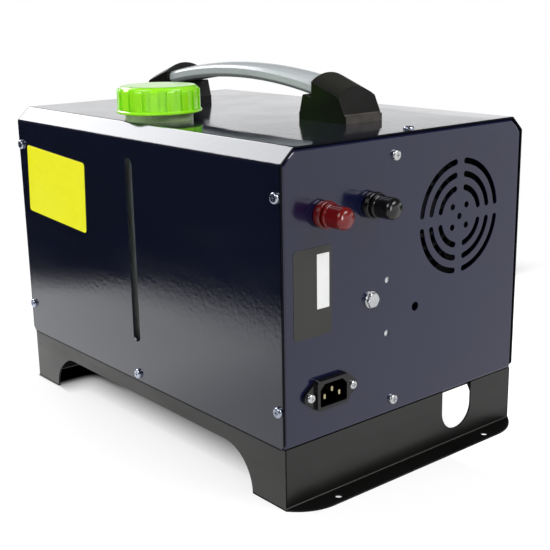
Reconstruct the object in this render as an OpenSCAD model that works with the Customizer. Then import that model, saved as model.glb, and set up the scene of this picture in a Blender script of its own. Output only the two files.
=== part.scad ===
// Indirect diesel air heater in a portable sheet-metal case.
// Millimetres, +Z up. The origin is the centre of the four floor bolt holes, at floor level.
// +Y is the rear panel with the grille and the power inlet, +X the side with the sight slot.

/* [Case] */
// Width over the sides of the hood
case_w = 250; // [244:1:270]
// Length from the front panel to the rear panel
case_l = 366; // [362:1:400]
// Height of the hood's top above the floor
case_top = 256; // [252:1:280]
// Thickness of the hood and panel sheet
sheet = 1.2; // [1:0.1:1.6]
// Width of the slope along the hood's upper edges
bevel_w = 12; // [8:1:14]
// Height of the slope along the hood's upper edges
bevel_h = 11; // [7:1:13]
// Outer radius of the folds in the hood
hood_fold_r = 3; // [2:0.5:5]
// Outer radius of the folds round the end panels
panel_fold_r = 2.6; // [2:0.2:4]
// Depth of the flange folded inwards round each end panel
panel_flange = 14; // [11:1:18]
// Clearance between the hood and what stands inside it
case_gap = 0.3; // [0.2:0.1:0.6]
// Length of the corner cut at the lower ends of the hood
hood_corner = 4; // [2:0.5:6]
// Distance of the hood screws from the case ends
screw_end = 5; // [4:0.5:7]

/* [Sight slot] */
// Width of the fuel sight slot
slot_w = 10; // [6:0.5:14]
// Height of the sight slot's lower end
slot_low = 80.6; // [70:1:100]
// Height of the sight slot's upper end
slot_high = 230.4; // [200:1:232]

/* [Base] */
// Height of the base under the case
base_h = 46; // [42:1:52]
// Thickness of the base sheet
base_sheet = 1.5; // [1.2:0.1:2]
// Height of the arches in the sides of the base
arch_h = 32.5; // [24:0.5:33]
// Distance from the base's end to the foot of the arch
arch_end = 38; // [30:1:60]
// Reach of the floor flanges beyond the skirts
flange_w = 16; // [13:0.5:24]
// Corner radius of the floor flanges
flange_r = 40; // [30:1:50]
// Distance between the floor bolt holes across the base
bolt_span_x = 163; // [120:1:170]
// Distance from the skirt to the floor bolt holes
bolt_out = 9.2; // [8:0.2:12]
// Diameter of the floor bolt holes
bolt_hole_d = 5.5; // [4.5:0.1:7]
// Width of the notch for the exhaust hose
notch_w = 34.5; // [28:0.5:40]
// Height of the lower end of the notch
notch_low = 11.2; // [8:0.5:16]
// Distance from the middle of the case to the notch
notch_off = 57; // [45:1:70]

/* [Grille] */
// Distance from the middle of the case to the air intake
air_off = 52.5; // [50:0.5:54]
// Height of the air intake and of the heater's axis
air_z = 186; // [184:0.5:186]
// Radius of the outer ring of slots at mid width
ring_r = 42.2; // [38:0.2:44]
// Distance between the rings of slots
ring_step = 10; // [8:0.2:12]
// Number of rings of slots
ring_count = 3; // [2:1:3]
// Width of the slots
ring_slot = 4.6; // [3:0.2:6]
// Width of the bridges between the slots
ring_bridge = 7.2; // [5:0.2:10]
// Diameter of the small holes in the middle of the grille
dot_d = 5; // [3:0.5:6]
// Distance of the small holes from the middle of the grille
dot_off = 7.9; // [6:0.1:9]

/* [Filler] */
// Distance from the middle of the case to the filler
cap_off = 85; // [82:0.5:86]
// Distance of the filler from the middle of the case, towards the front
cap_fwd = 13; // [0:1:20]
// Outer radius of the filler neck
neck_r = 27; // [25:0.2:28]
// Wall of the filler neck
neck_wall = 3; // [2.5:0.1:4]
// Radius of the cap over its ribs
cap_r = 33; // [32:0.2:35]
// Height of the cap
cap_h = 21; // [19:0.5:26]
// Height of the cap's lower edge above the hood
cap_lift = 6; // [5:0.5:10]
// Depth of the grooves between the cap's ribs
cap_groove = 1.7; // [0.8:0.1:1.8]
// Number of ribs round the cap
cap_ribs = 16; // [12:1:20]

/* [Handle] */
// Distance from the middle of the case to the handle
handle_off = 7; // [5:0.5:9]
// Distance of the handle from the middle of the case, towards the front
handle_fwd = 10; // [5:1:15]
// Length of the handle over its feet
handle_l = 272; // [260:1:280]
// Width of the handle's feet
foot_w = 38; // [34:0.5:40]
// Length of one foot along the case
foot_l = 53; // [50:0.5:56]
// Thickness of the foot's base plate
foot_plate = 6; // [5:0.5:8]
// Width of the grip
grip_w = 33; // [28:0.5:34]
// Height of the grip at its sides
grip_h = 9.2; // [8:0.2:11]
// Height of the grip's crown above its sides
grip_crown = 2.6; // [1.5:0.1:3.5]
// Bend radius of the grip at its upper side edge
grip_arc = 500; // [460:5:560]
// Height of the grip's upper side edge above the hood, at mid length
grip_rise = 37.2; // [35:0.2:39]

/* [Binding posts] */
// Distance from the middle of the case to the red post
red_off = 88; // [84:0.5:92]
// Distance from the middle of the case to the black post
black_off = 42.4; // [40:0.2:46]
// Height of the binding posts above the floor
post_z = 208.2; // [195:0.2:215]
// Radius of the posts' collars
post_collar_r = 9.8; // [9.4:0.1:11]
// Thickness of the posts' collars
post_collar_t = 6; // [4:0.5:8]
// Radius of the posts' knobs over the ribs
post_knob_r = 7.8; // [7:0.1:8.5]
// Length of the posts' knobs
post_knob_l = 17; // [14:0.2:20]
// Number of ribs round each knob
post_ribs = 28; // [20:1:36]
// Radius of the posts' studs
post_stud_r = 2.5; // [2:0.1:3]

/* [Power inlet] */
// Distance from the middle of the case to the inlet
inlet_off = 82.6; // [78:0.2:84]
// Height of the inlet above the floor
inlet_z = 80.5; // [76:0.5:100]
// Distance between the inlet's screws
inlet_span = 40; // [39:0.5:42]
// Width of the socket's cavity
inlet_hole_w = 25.4; // [24.5:0.1:26]
// Height of the socket's cavity
inlet_hole_h = 16.7; // [16.2:0.1:17]
// Depth of the socket's cavity
inlet_deep = 16; // [15:0.5:18]

/* [Tank] */
// Width of the fuel tank
tank_w = 64; // [60:0.5:66]
// Length of the fuel tank
tank_l = 290; // [200:1:294]
// Wall of the fuel tank
tank_wall = 3; // [2:0.5:4]
// Clearance between the tank and the hood's side
tank_side_gap = 6; // [5:0.5:8]
// Clearance between the tank's top and the hood
tank_top_gap = 15; // [12:0.5:20]

/* [Heater unit] */
// Width of the heater unit
unit_w = 114; // [110:0.5:115]
// Height of the heater unit
unit_h = 118; // [116:0.5:120]
// Wall of the heater unit's casing
unit_wall = 2.2; // [1.8:0.1:2.6]
// Distance between the rear panel and the heater unit
unit_back = 32; // [30:0.5:36]
// Length of the heater unit's casing
unit_l = 246; // [240:1:260]
// Number of fins round the heat exchanger
fin_count = 28; // [16:2:36]
// Number of blades on the blower wheel
blower_blades = 9; // [7:1:11]
// Radius of the exhaust and combustion-air stubs
stub_r = 12; // [11:0.5:12.5]

/* [Warm-air outlet] */
// Radius of the outlet's flange
outlet_flange_r = 46; // [44:0.5:50]
// Radius of the bore of the outlet's collar
outlet_r = 35.5; // [34.5:0.5:36]
// Distance between the louvre blades
louvre_step = 14; // [13.6:0.2:14.4]
// Chord of the louvre blades
louvre_chord = 13; // [11:0.5:13.2]

/* [Controller] */
// Width of the controller
panel_w = 88; // [84:1:90]
// Height of the controller
panel_h = 54; // [50:1:60]
// How far the controller stands out of the front panel
panel_proud = 7; // [6:0.5:10]
// Diameter of the controller's buttons
button_d = 10; // [8:0.5:11]
// Distance between the controller's buttons
button_step = 16; // [14:0.5:18]

/* [Hidden] */
$fn = 64;

// Colours
navy = [0.07, 0.08, 0.15];
base_black = [0.2, 0.2, 0.19];
zinc = [0.78, 0.8, 0.84];
lime = [0.55, 0.9, 0.12];
plastic_black = [0.12, 0.12, 0.12];
grip_grey = [0.62, 0.66, 0.7];
tank_grey = [0.6, 0.66, 0.62];
post_red = [0.66, 0.12, 0.12];
steel_grey = [0.68, 0.66, 0.62];

// Shared fits
far = 1000;
eps = 0.01;
slide_gap = 0.3;
shaft_gap = 0.05;
hole_gap = 0.3;
fold_steps = 6;

// Places worked out from the case
half_w = case_w / 2;
half_l = case_l / 2;
inner_x = half_w - sheet;
inner_top = case_top - sheet;
panel_in_y = half_l - sheet;
side_x = inner_x - case_gap;
skirt_y = half_l - 0.7;
deck_x = side_x - base_sheet;
deck_y = skirt_y - base_sheet;
deck_sheet = 1.5;
deck_fold = 10;
lap_h = 14;
lap_y = half_l - panel_flange - 2;
air_x = -air_off;
cap_x = cap_off;
neck_gap = 0.6;
cap_y = -cap_fwd;
handle_x = -handle_off;
handle_y = -handle_fwd;
notch_x = -notch_off;
notch_r = notch_w / 2;
bolt_span_y = 2 * (skirt_y + bolt_out);

// Power inlet
inlet_screw_r = 1.6;
inlet_ear_t = 2.6;
inlet_face_t = 5;
inlet_back_t = 3;
inlet_pin_w = 2;
inlet_pin_h = 3.6;

// Screws
screw_r = 1.9;
screw_head_r = 4;
screw_head_h = 2.6;
screw_l = 6;
hood_screw_high = case_top - 32.5;
hood_screw_low = base_h + 28;
hood_screw_mid = base_h + lap_h / 2;
panel_screw_x = 18.5;
panel_screw_high = case_top - 15.6;
panel_screw_low = base_h + 10.6;
spare_hole_x = 25;
spare_hole_z = [air_z - 35.7, air_z - 76];
spare_hole_r = 2.5;
vent_hole_x = -4.8;
vent_hole_z = air_z - 61.7;
vent_hole_r = 3.5;
earth_x = 42.2;
earth_z = 139.2;
earth_r = 3;
earth_head_r = 5.75;
earth_head_h = 2.6;
earth_flange_r = 6.2;
earth_flange_t = 1.2;
earth_bolt_l = 11;
earth_af = 10;

// Divider between the heater bay and the tank bay
divider_x = 12;
divider_flange = 10.2;
divider_low = base_h + 4;
divider_top = case_top - 8;
bay_x0 = divider_x + sheet;

// Tank
tank_x1 = inner_x - tank_side_gap;
tank_x0 = tank_x1 - tank_w;
tank_y1 = panel_in_y - 41.8;
tank_y0 = tank_y1 - tank_l;
tank_pad_t = 2;
tank_z0 = base_h + tank_pad_t;
tank_z1 = inner_top - tank_top_gap;
tank_edge = 12;
neck_top = case_top + cap_lift + cap_h - 6;
spigot_z = base_h + 20;
spigot_y = -20;
spigot_r = 3;
spigot_l = 8;

// Fuel parts stand in a row between the divider and the tank
fuel_x = (bay_x0 + tank_x0) / 2;
line_r = 2.5;
line_bore = 1.5;
line_bend = 10;
filter_r = 9;
filter_l = 32;
filter_y1 = spigot_y - 16;
pump_gap = 6.3;
pump_r = tank_x0 - fuel_x - pump_gap;
pump_l = 70;
pump_y1 = filter_y1 - filter_l - 10;
pump_y0 = pump_y1 - pump_l;
pump_tip = 8;

// Heater unit
unit_y1 = half_l - unit_back;
intake_l = 30;
case_y1 = unit_y1 - intake_l;
case_y0 = case_y1 - unit_l;
unit_z0 = air_z - unit_h / 2;
unit_corner = 32;
foot_t = 5.5;
gasket_t = 2;
stand_top = unit_z0 - foot_t - gasket_t;
stand_sheet = 1.5;
stand_w = 96;
stand_l = 170;
stand_y = -15;
stand_foot = 14;
exhaust_y = -45;
intake_y = 5;
fuel_in_x = air_x + 24;
fuel_in_y = -78;
pipe_low = 14;
nozzle_r = 32;
nozzle_l = 22;
nozzle_y0 = case_y0 - nozzle_l;

// Warm-air outlet
collar_wall = 2;
flange_t = 4;
spigot_in = 20;
ring_wall = 2;
ring_r_out = outlet_r - slide_gap;
ring_r_in = ring_r_out - ring_wall;
ring_lip_r = outlet_r + 3;
ring_front = half_l + flange_t + slide_gap + 2.6;
louvre_count = 4;
louvre_y = half_l - 3;
louvre_pin_r = 1.25;
louvre_t = 1.8;

// Post parts, counted outwards from the rear panel
post_stem_r = 5;
post_stem_in = sheet + 3;
post_tail = 14;
washer_t = 1;
washer_y = half_l + post_collar_t + 0.1;
knob_y = washer_y + washer_t + 0.2;

// Controller on the front panel, over the tank bay
panel_x = 73;
panel_z = 188;
panel_r = 6;
button_x = panel_x + 31;

// Points of an arc about c, from angle a0 to angle a1
function arc(c, r, a0, a1, n = fold_steps) =
  [for (i = [0:n]) c + r * [cos(a0 + (a1 - a0) * i / n), sin(a0 + (a1 - a0) * i / n)]];

// Angle from a0 to a1 by the shorter way
function short_turn(a0, a1) =
  (a1 - a0 > 180) ? a1 - a0 - 360 : (a1 - a0 < -180) ? a1 - a0 + 360 : a1 - a0;

// Arc of radius r that rounds the corner p between its neighbours a and b
function corner(a, p, b, r) =
  let (
    u = (a - p) / norm(a - p),
    v = (b - p) / norm(b - p),
    half = acos(u * v) / 2,
    c = p + (u + v) / norm(u + v) * r / sin(half),
    s = p + u * r / tan(half) - c,
    e = p + v * r / tan(half) - c,
    a0 = atan2(s[1], s[0])
  ) arc(c, r, a0, a0 + short_turn(a0, atan2(e[1], e[0])));

// Outline with a radius at each corner, where 0 keeps the corner sharp
function rounded(pts, radii) =
  let (n = len(pts))
  [for (i = [0:n - 1]) each
    (radii[i] > 0 ? corner(pts[(i + n - 1) % n], pts[i], pts[(i + 1) % n], radii[i]) : [pts[i]])];

// Corners of the case section in X and Z, set inwards by off, from z0 up
function case_corners(off, z0) =
  let (
    n = [bevel_h, bevel_w] / norm([bevel_h, bevel_w]),
    low = [half_w, case_top - bevel_h] - off * ([1, 0] + n) / (1 + n[0]),
    high = [half_w - bevel_w, case_top] - off * ([0, 1] + n) / (1 + n[1])
  ) [[half_w - off, z0], low, high, [-high[0], high[1]], [-low[0], low[1]], [off - half_w, z0]];

function case_outline(off, z0) =
  let (r = max(hood_fold_r - off, 0.5))
  rounded(case_corners(off, z0), [0, r, r, r, r, 0]);

// Extrudes a section drawn in X and Z along Y, from y0 to y1
module along_y(y0, y1) {
  translate([0, y1, 0])
    rotate([90, 0, 0])
      linear_extrude(y1 - y0) children();
}

// Extrudes a section drawn in Y and Z along X, from x0 to x1
module along_x(x0, x1) {
  translate([x0, 0, 0])
    rotate([90, 0, 90])
      linear_extrude(x1 - x0) children();
}

// Cylinder along Y from y0 to y1
module rod_y(x, z, r, y0, y1) {
  translate([x, y1, z])
    rotate([90, 0, 0])
      cylinder(h = y1 - y0, r = r);
}

// Cylinder along X from x0 to x1
module rod_x(y, z, r, x0, x1) {
  translate([x0, y, z])
    rotate([0, 90, 0])
      cylinder(h = x1 - x0, r = r);
}

// Block between two corners
module block(low, high) {
  translate(low)
    cube(high - low);
}

// Rectangle with round corners, centred
module soft_rect(w, h, r) {
  square([w - 2 * r, h], center = true);
  square([w, h - 2 * r], center = true);
  for (x = [-1, 1], y = [-1, 1])
    translate([x * (w / 2 - r), y * (h / 2 - r)])
      circle(r);
}

// Body of revolution about the Y axis line through x and z; pts are [radius, y]
module turned_y(x, z, pts) {
  translate([x, 0, z])
    rotate([-90, 0, 0])
      rotate_extrude()
        polygon(pts);
}

// Hexagon prism with its axis along Z, set across the flats
module hex(af, h) {
  rotate([0, 0, 30])
    cylinder(h = h, r = af / 2 / cos(30), $fn = 6);
}

// Pan-head screw on the Z axis with its head above z = 0
module pan_screw(r, head_r, head_h, l) {
  difference() {
    union() {
      translate([0, 0, -l])
        cylinder(h = l + eps, r = r);
      rotate_extrude()
        polygon(concat([[0, 0], [head_r, 0]], arc([head_r * 0.55, head_h * 0.35],
          head_r * 0.45, 0, 60), [[head_r * 0.55, head_h], [0, head_h]]));
    }
    for (a = [0, 90])
      rotate([0, 0, a])
        translate([-head_r * 0.5, -head_r * 0.1, head_h * 0.55])
          cube([head_r, head_r * 0.2, head_h]);
  }
}

module hood_screw() {
  pan_screw(screw_r, screw_head_r, screw_head_h, screw_l);
}

// Puts its children on each hood screw's place, with +Z out of the case
module at_hood_screws() {
  for (s = [-1, 1]) {
    for (y = [screw_end - half_l, half_l - screw_end], z = [hood_screw_low, hood_screw_high])
      translate([s * half_w, y, z])
        rotate([0, s * 90, 0])
          children();
    translate([s * half_w, 0, hood_screw_mid])
      rotate([0, s * 90, 0])
        children();
    translate([0, s * (half_l - screw_end), case_top])
      children();
  }
}

// Puts its children on each end-panel screw's place, with +Z out of the case
module at_panel_screws() {
  for (s = [-1, 1], z = [panel_screw_low, panel_screw_high])
    translate([panel_screw_x, s * half_l, z])
      rotate([-s * 90, 0, 0])
        children();
}

// Quarter-round profile for one edge of a folded panel, in outward and depth directions
module edge_profile(depth, r) {
  translate([-far, -depth])
    square([far - r, depth]);
  translate([-far, -depth])
    square([far, depth - r]);
  translate([-r, -r])
    circle(r);
}

// Block bounded by the polygon pts, with its front face at z = 0 and its front edges rounded
module folded_block(pts, depth, r) {
  intersection_for (i = [0:len(pts) - 1]) {
    p = pts[i];
    q = pts[(i + 1) % len(pts)];
    translate([p[0], p[1], 0])
      rotate([0, 0, atan2(q[1] - p[1], q[0] - p[0]) - 90])
        rotate([90, 0, 0])
          linear_extrude(2 * far, center = true)
            edge_profile(depth, r);
  }
}

// End panel with its face towards -Y at y = 0 and its flange folded towards +Y
module end_panel_blank() {
  edge = sheet + case_gap;
  rotate([90, 0, 0])
    difference() {
      folded_block(case_corners(edge, base_h), panel_flange, panel_fold_r);
      translate([0, 0, -sheet])
        folded_block(case_corners(edge + sheet, base_h + sheet), far / 2, panel_fold_r - sheet);
    }
}

// One slot of a ring in the grille, in the first quarter, at radius r
module grille_slot(r) {
  a = asin((ring_bridge + ring_slot) / 2 / r);
  rotate([0, 0, a])
    rotate_extrude(angle = 90 - 2 * a)
      translate([r - ring_slot / 2, -far / 10])
        square([ring_slot, far / 5]);
  for (b = [a, 90 - a])
    rotate([0, 0, b])
      translate([r, 0, 0])
        cylinder(h = far / 5, r = ring_slot / 2, center = true);
}

module grille_cut() {
  translate([air_x, half_l, air_z])
    rotate([90, 0, 0]) {
      for (k = [0:ring_count - 1], q = [0:3])
        rotate([0, 0, 90 * q])
          grille_slot(ring_r - k * ring_step);
      cylinder(h = 4 * panel_flange, d = dot_d, center = true);
      for (x = [-1, 1], y = [-1, 1])
        translate([x * dot_off, y * dot_off, 0])
          cylinder(h = 4 * panel_flange, d = dot_d, center = true);
    }
}

module base_frame() {
  fold = 1;
  arch_c = half_l - arch_end - arch_h;
  flange_cx = side_x - sqrt(pow(flange_r, 2) - pow(flange_r - flange_w, 2));
  color(base_black)
    difference() {
      union() {
        for (s = [-1, 1])
          scale([s, 1, 1]) {
            block([deck_x, -skirt_y, 0], [side_x, skirt_y, base_h - eps]);
            block([deck_x, -lap_y, base_h - 1], [side_x, lap_y, base_h + lap_h]);
          }
        for (s = [-1, 1])
          scale([1, s, 1]) {
            block([-side_x, deck_y, base_sheet + fold], [side_x, skirt_y, base_h - eps]);
            along_x(-side_x, side_x)
              intersection() {
                translate([skirt_y + fold, base_sheet + fold])
                  difference() {
                    circle(base_sheet + fold);
                    circle(fold);
                  }
                translate([deck_y, 0])
                  square([base_sheet + fold, base_sheet + fold]);
              }
            linear_extrude(base_sheet)
              intersection() {
                union() {
                  translate([-flange_cx, 0])
                    square([2 * flange_cx, skirt_y + flange_w]);
                  for (x = [-flange_cx, flange_cx])
                    translate([x, skirt_y + flange_w - flange_r])
                      circle(flange_r);
                }
                translate([-side_x, skirt_y + fold])
                  square([2 * side_x, flange_w]);
              }
          }
      }
      block([-far, -arch_c, -1], [far, arch_c, arch_h]);
      for (s = [-1, 1])
        rod_x(s * arch_c, 0, arch_h, -far, far);
      rod_y(notch_x, notch_low + notch_r, notch_r, half_l - 10, half_l + 10);
      block([notch_x - notch_r, half_l - 10, notch_low + notch_r],
        [notch_x + notch_r, half_l + 10, far]);
      for (x = [-1, 1], y = [-1, 1])
        translate([x * bolt_span_x / 2, y * bolt_span_y / 2, -1])
          cylinder(h = 4, d = bolt_hole_d);
      for (s = [-1, 1])
        translate([s * side_x, 0, hood_screw_mid])
          rotate([0, 90, 0])
            cylinder(h = 10, r = screw_r + hole_gap, center = true);
    }
}

// Places of the bolts through the deck, with the thickness that each one holds down
deck_bolt_r = 2.4;
deck_bolt_hole_r = deck_bolt_r + hole_gap;
deck_bolt_af = 8;
strap_t = 1;
strap_foot = 16;
strap_in = [70, 50];
strap_y = [tank_y0 + strap_in[0], tank_y1 - strap_in[1]];
divider_foot = 12;
divider_bolt_y = [-90, 60];
stand_bolt_in = 20;
pump_clamp_y = pump_y0 + pump_l / 2;
deck_bolts_at = [
  for (x = [-1, 1], y = [-1, 1])
    [air_x + x * (stand_w - stand_foot) / 2, stand_y + y * (stand_l / 2 - stand_bolt_in), stand_sheet],
  for (y = strap_y) [tank_x0 - strap_foot / 2 - strap_t, y, strap_t],
  for (y = divider_bolt_y) [divider_x - divider_foot / 2, y, sheet]
];

module floor_pan() {
  color(base_black)
    difference() {
      union() {
        block([-deck_x, -deck_y, base_h - deck_sheet], [deck_x, deck_y, base_h]);
        for (s = [-1, 1])
          scale([s, 1, 1])
            block([deck_x - deck_sheet, -lap_y, base_h - deck_fold], [deck_x, lap_y, base_h]);
      }
      for (p = deck_bolts_at)
        translate([p[0], p[1], base_h])
          cylinder(h = 10, r = deck_bolt_hole_r, center = true);
      for (y = [exhaust_y, intake_y])
        translate([air_x, y, base_h])
          cylinder(h = 10, r = stub_r + 4, center = true);
    }
}

module deck_bolts() {
  nut_h = 4;
  head_h = 3.5;
  tail = 2;
  color(zinc)
    for (p = deck_bolts_at)
      translate([p[0], p[1], base_h + p[2]])
        difference() {
          union() {
            hex(deck_bolt_af, head_h);
            translate([0, 0, -p[2] - deck_sheet - nut_h - tail])
              cylinder(h = p[2] + deck_sheet + nut_h + tail + eps, r = deck_bolt_r);
            translate([0, 0, -p[2] - deck_sheet - nut_h])
              hex(deck_bolt_af, nut_h);
          }
          translate([0, 0, head_h - 0.5])
            cylinder(h = 1, r = deck_bolt_af / 4);
        }
}

module hood() {
  slot_r = slot_w / 2;
  color(navy)
    difference() {
      along_y(-half_l, half_l)
        difference() {
          polygon(case_outline(0, base_h));
          polygon(case_outline(sheet, base_h - 1));
        }
      for (s = [-1, 1])
        translate([0, s * half_l, base_h])
          rotate([45, 0, 0])
            cube([far, hood_corner * sqrt(2), hood_corner * sqrt(2)], center = true);
      for (z = [slot_low + slot_r, slot_high - slot_r])
        rod_x(0, z, slot_r, half_w - 5, half_w + 5);
      block([half_w - 5, -slot_r, slot_low + slot_r], [half_w + 5, slot_r, slot_high - slot_r]);
      translate([cap_x, cap_y, case_top - 5])
        cylinder(h = 10, r = neck_r + neck_gap);
      at_hood_screws()
        cylinder(h = 4 * sheet, r = screw_r + hole_gap, center = true);
      at_handle_bolts()
        cylinder(h = 4 * sheet, r = handle_bolt_r + hole_gap, center = true);
    }
}

module hood_screws() {
  color(zinc)
    at_hood_screws()
      hood_screw();
}

module rear_panel() {
  color(navy)
    difference() {
      translate([0, half_l, 0])
        rotate([0, 0, 180])
          end_panel_blank();
      grille_cut();
      at_hood_screws()
        cylinder(h = 20, r = screw_r + hole_gap / 2, center = true);
      at_panel_screws()
        cylinder(h = 4 * sheet, r = screw_r + hole_gap, center = true);
      for (z = spare_hole_z)
        rod_y(spare_hole_x, z, spare_hole_r, half_l - 5, half_l + 5);
      rod_y(vent_hole_x, vent_hole_z, vent_hole_r, half_l - 5, half_l + 5);
      rod_y(earth_x, earth_z, earth_r + hole_gap, half_l - 5, half_l + 5);
      for (x = [red_off, black_off])
        rod_y(x, post_z, post_stem_r + hole_gap, half_l - 5, half_l + 5);
      translate([inlet_off, half_l, inlet_z])
        cube([inlet_hole_w + 4.6, 10, inlet_hole_h + 4.6], center = true);
      for (s = [-1, 1])
        rod_y(inlet_off + s * inlet_span / 2, inlet_z, inlet_screw_r + hole_gap, half_l - 5, half_l + 5);
    }
}

module front_panel() {
  color(navy)
    difference() {
      translate([0, -half_l, 0])
        end_panel_blank();
      at_hood_screws()
        cylinder(h = 20, r = screw_r + hole_gap / 2, center = true);
      at_panel_screws()
        cylinder(h = 4 * sheet, r = screw_r + hole_gap, center = true);
      rod_y(air_x, air_z, outlet_r + collar_wall + hole_gap, -half_l - 5, 5 - half_l);
      translate([panel_x, -half_l, panel_z])
        cube([panel_w - 8 + 2 * hole_gap, 10, panel_h - 8 + 2 * hole_gap], center = true);
    }
}

module divider() {
  reach = panel_in_y;
  color(base_black)
    difference() {
      union() {
        block([divider_x, -reach, divider_low], [divider_x + sheet, reach, divider_top]);
        for (s = [-1, 1])
          scale([1, s, 1])
            block([divider_x, reach - sheet, divider_low],
              [divider_x + divider_flange, reach, divider_top]);
        block([divider_x, -lap_y, base_h], [divider_x + sheet, lap_y, divider_low + 1]);
        block([divider_x - divider_foot, -lap_y, base_h], [divider_x + sheet, lap_y, base_h + sheet]);
      }
      at_panel_screws()
        cylinder(h = 10, r = screw_r + hole_gap / 2, center = true);
      for (p = deck_bolts_at)
        translate([p[0], p[1], base_h])
          cylinder(h = 10, r = deck_bolt_hole_r, center = true);
      rod_x(fuel_turn_y, spigot_z, line_r + 2, divider_x - 5, divider_x + 5);
      at_supply_screws()
        cylinder(h = 10, r = 1.5 + hole_gap, center = true);
    }
}

module panel_screws() {
  color(zinc)
    at_panel_screws()
      hood_screw();
}

module earth_bolt() {
  color([0.9, 0.92, 0.93])
    translate([earth_x, half_l, earth_z])
      rotate([-90, 0, 0]) {
        cylinder(h = earth_flange_t, r = earth_flange_r);
        translate([0, 0, -earth_bolt_l])
          cylinder(h = earth_bolt_l + eps, r = earth_r);
        intersection() {
          translate([0, 0, earth_flange_t - eps])
            rotate([0, 0, 30])
              hex(earth_af, earth_head_h);
          translate([0, 0, earth_flange_t - 2 * eps])
            cylinder(h = earth_head_h + 2 * eps, r1 = earth_head_r + 2, r2 = earth_head_r - 0.5);
        }
      }
}

module earth_nut() {
  color(zinc)
    translate([earth_x, panel_in_y, earth_z])
      rotate([90, 0, 0])
        difference() {
          hex(earth_af, 5);
          translate([0, 0, -1])
            cylinder(h = 7, r = earth_r + shaft_gap);
        }
}

// Outline of the inlet's ears and face
module inlet_face() {
  ear = 5.2;
  hull() {
    for (s = [-1, 1])
      translate([s * inlet_span / 2, 0])
        circle(ear);
    soft_rect(inlet_hole_w + 4, inlet_hole_h + 6, 2);
  }
}

// Outline of the socket's cavity, with its upper corners cut
module inlet_cavity(grow = 0) {
  w = inlet_hole_w / 2 + grow;
  h = inlet_hole_h / 2 + grow;
  cut = 4.2;
  polygon([[-w, 1 - h], [1 - w, -h], [w - 1, -h], [w, 1 - h], [w, h - cut], [w - cut, h],
    [cut - w, h], [-w, h - cut]]);
}

module inlet_body() {
  color(plastic_black)
    translate([inlet_off, half_l, inlet_z])
      rotate([90, 0, 180])
        difference() {
          union() {
            linear_extrude(inlet_ear_t)
              inlet_face();
            linear_extrude(inlet_face_t)
              soft_rect(inlet_hole_w + 5, inlet_hole_h + 5.4, 2.4);
            translate([0, 0, -inlet_deep - inlet_back_t + inlet_face_t])
              linear_extrude(inlet_deep + inlet_back_t)
                inlet_cavity(2);
          }
          translate([0, 0, inlet_face_t - inlet_deep])
            linear_extrude(inlet_deep + 1)
              inlet_cavity();
          for (s = [-1, 1])
            translate([s * inlet_span / 2, 0, -1])
              cylinder(h = 10, r = inlet_screw_r + hole_gap);
          at_inlet_pins()
            translate([0, 0, -far / 2])
              linear_extrude(far / 2)
                square([inlet_pin_w, inlet_pin_h], center = true);
        }
}

// Puts its children at the three contacts, in the inlet's own frame
module at_inlet_pins() {
  for (p = [[-7, -2], [0, 2.2], [7, -2]])
    translate([p[0], p[1], 0])
      children();
}

module inlet_contacts() {
  w = inlet_pin_w / 2;
  h = inlet_pin_h / 2;
  cut = 0.4;
  tail = 12;
  tip = inlet_face_t - 2;
  color([0.8, 0.7, 0.4])
    translate([inlet_off, half_l, inlet_z])
      rotate([90, 0, 180])
        at_inlet_pins()
          translate([0, 0, inlet_face_t - inlet_deep - tail])
            linear_extrude(inlet_deep + tail - inlet_face_t + tip)
              polygon([[-w, cut - h], [cut - w, -h], [w - cut, -h], [w, cut - h], [w, h - cut],
                [w - cut, h], [cut - w, h], [-w, h - cut]]);
}

module inlet_screws() {
  nut_h = 2.4;
  color(zinc)
    translate([inlet_off, half_l, inlet_z])
      rotate([90, 0, 180])
        for (s = [-1, 1])
          translate([s * inlet_span / 2, 0, inlet_ear_t]) {
            pan_screw(inlet_screw_r, 3.4, 2, 8);
            translate([0, 0, -inlet_ear_t - sheet - nut_h])
              difference() {
                hex(5.5, nut_h);
                cylinder(h = 3, r = inlet_screw_r - 0.1);
              }
          }
}

module post_collar(x, tint) {
  groove = 0.8;
  color(tint)
    turned_y(x, post_z, [
      [post_stud_r + shaft_gap, half_l - post_stem_in], [post_stem_r, half_l - post_stem_in],
      [post_stem_r, half_l],
      [post_collar_r - 1, half_l], [post_collar_r - 0.3, half_l + 0.7],
      [post_collar_r - 0.3, half_l + post_collar_t - 2.6],
      [post_collar_r - groove, half_l + post_collar_t - 2.2],
      [post_collar_r, half_l + post_collar_t - 1.6], [post_collar_r, half_l + post_collar_t - 0.7],
      [post_collar_r - 0.7, half_l + post_collar_t], [post_stud_r + shaft_gap, half_l + post_collar_t]
    ]);
}

module post_washer(x) {
  color([0.75, 0.7, 0.55])
    turned_y(x, post_z, [
      [post_stud_r + shaft_gap, washer_y], [post_knob_r - 1.2, washer_y],
      [post_knob_r - 1.2, washer_y + washer_t], [post_stud_r + shaft_gap, washer_y + washer_t]
    ]);
}

// Outline of the knob, with shallow grooves between its ribs
module knob_outline(r, depth) {
  polygon([for (i = [0:post_ribs - 1]) each
    [for (k = [0:3]) let (a = 360 / post_ribs * (i + [0, 0.55, 0.65, 0.9][k]),
      d = r - [0, 0, depth, depth][k]) d * [cos(a), sin(a)]]]);
}

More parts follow.
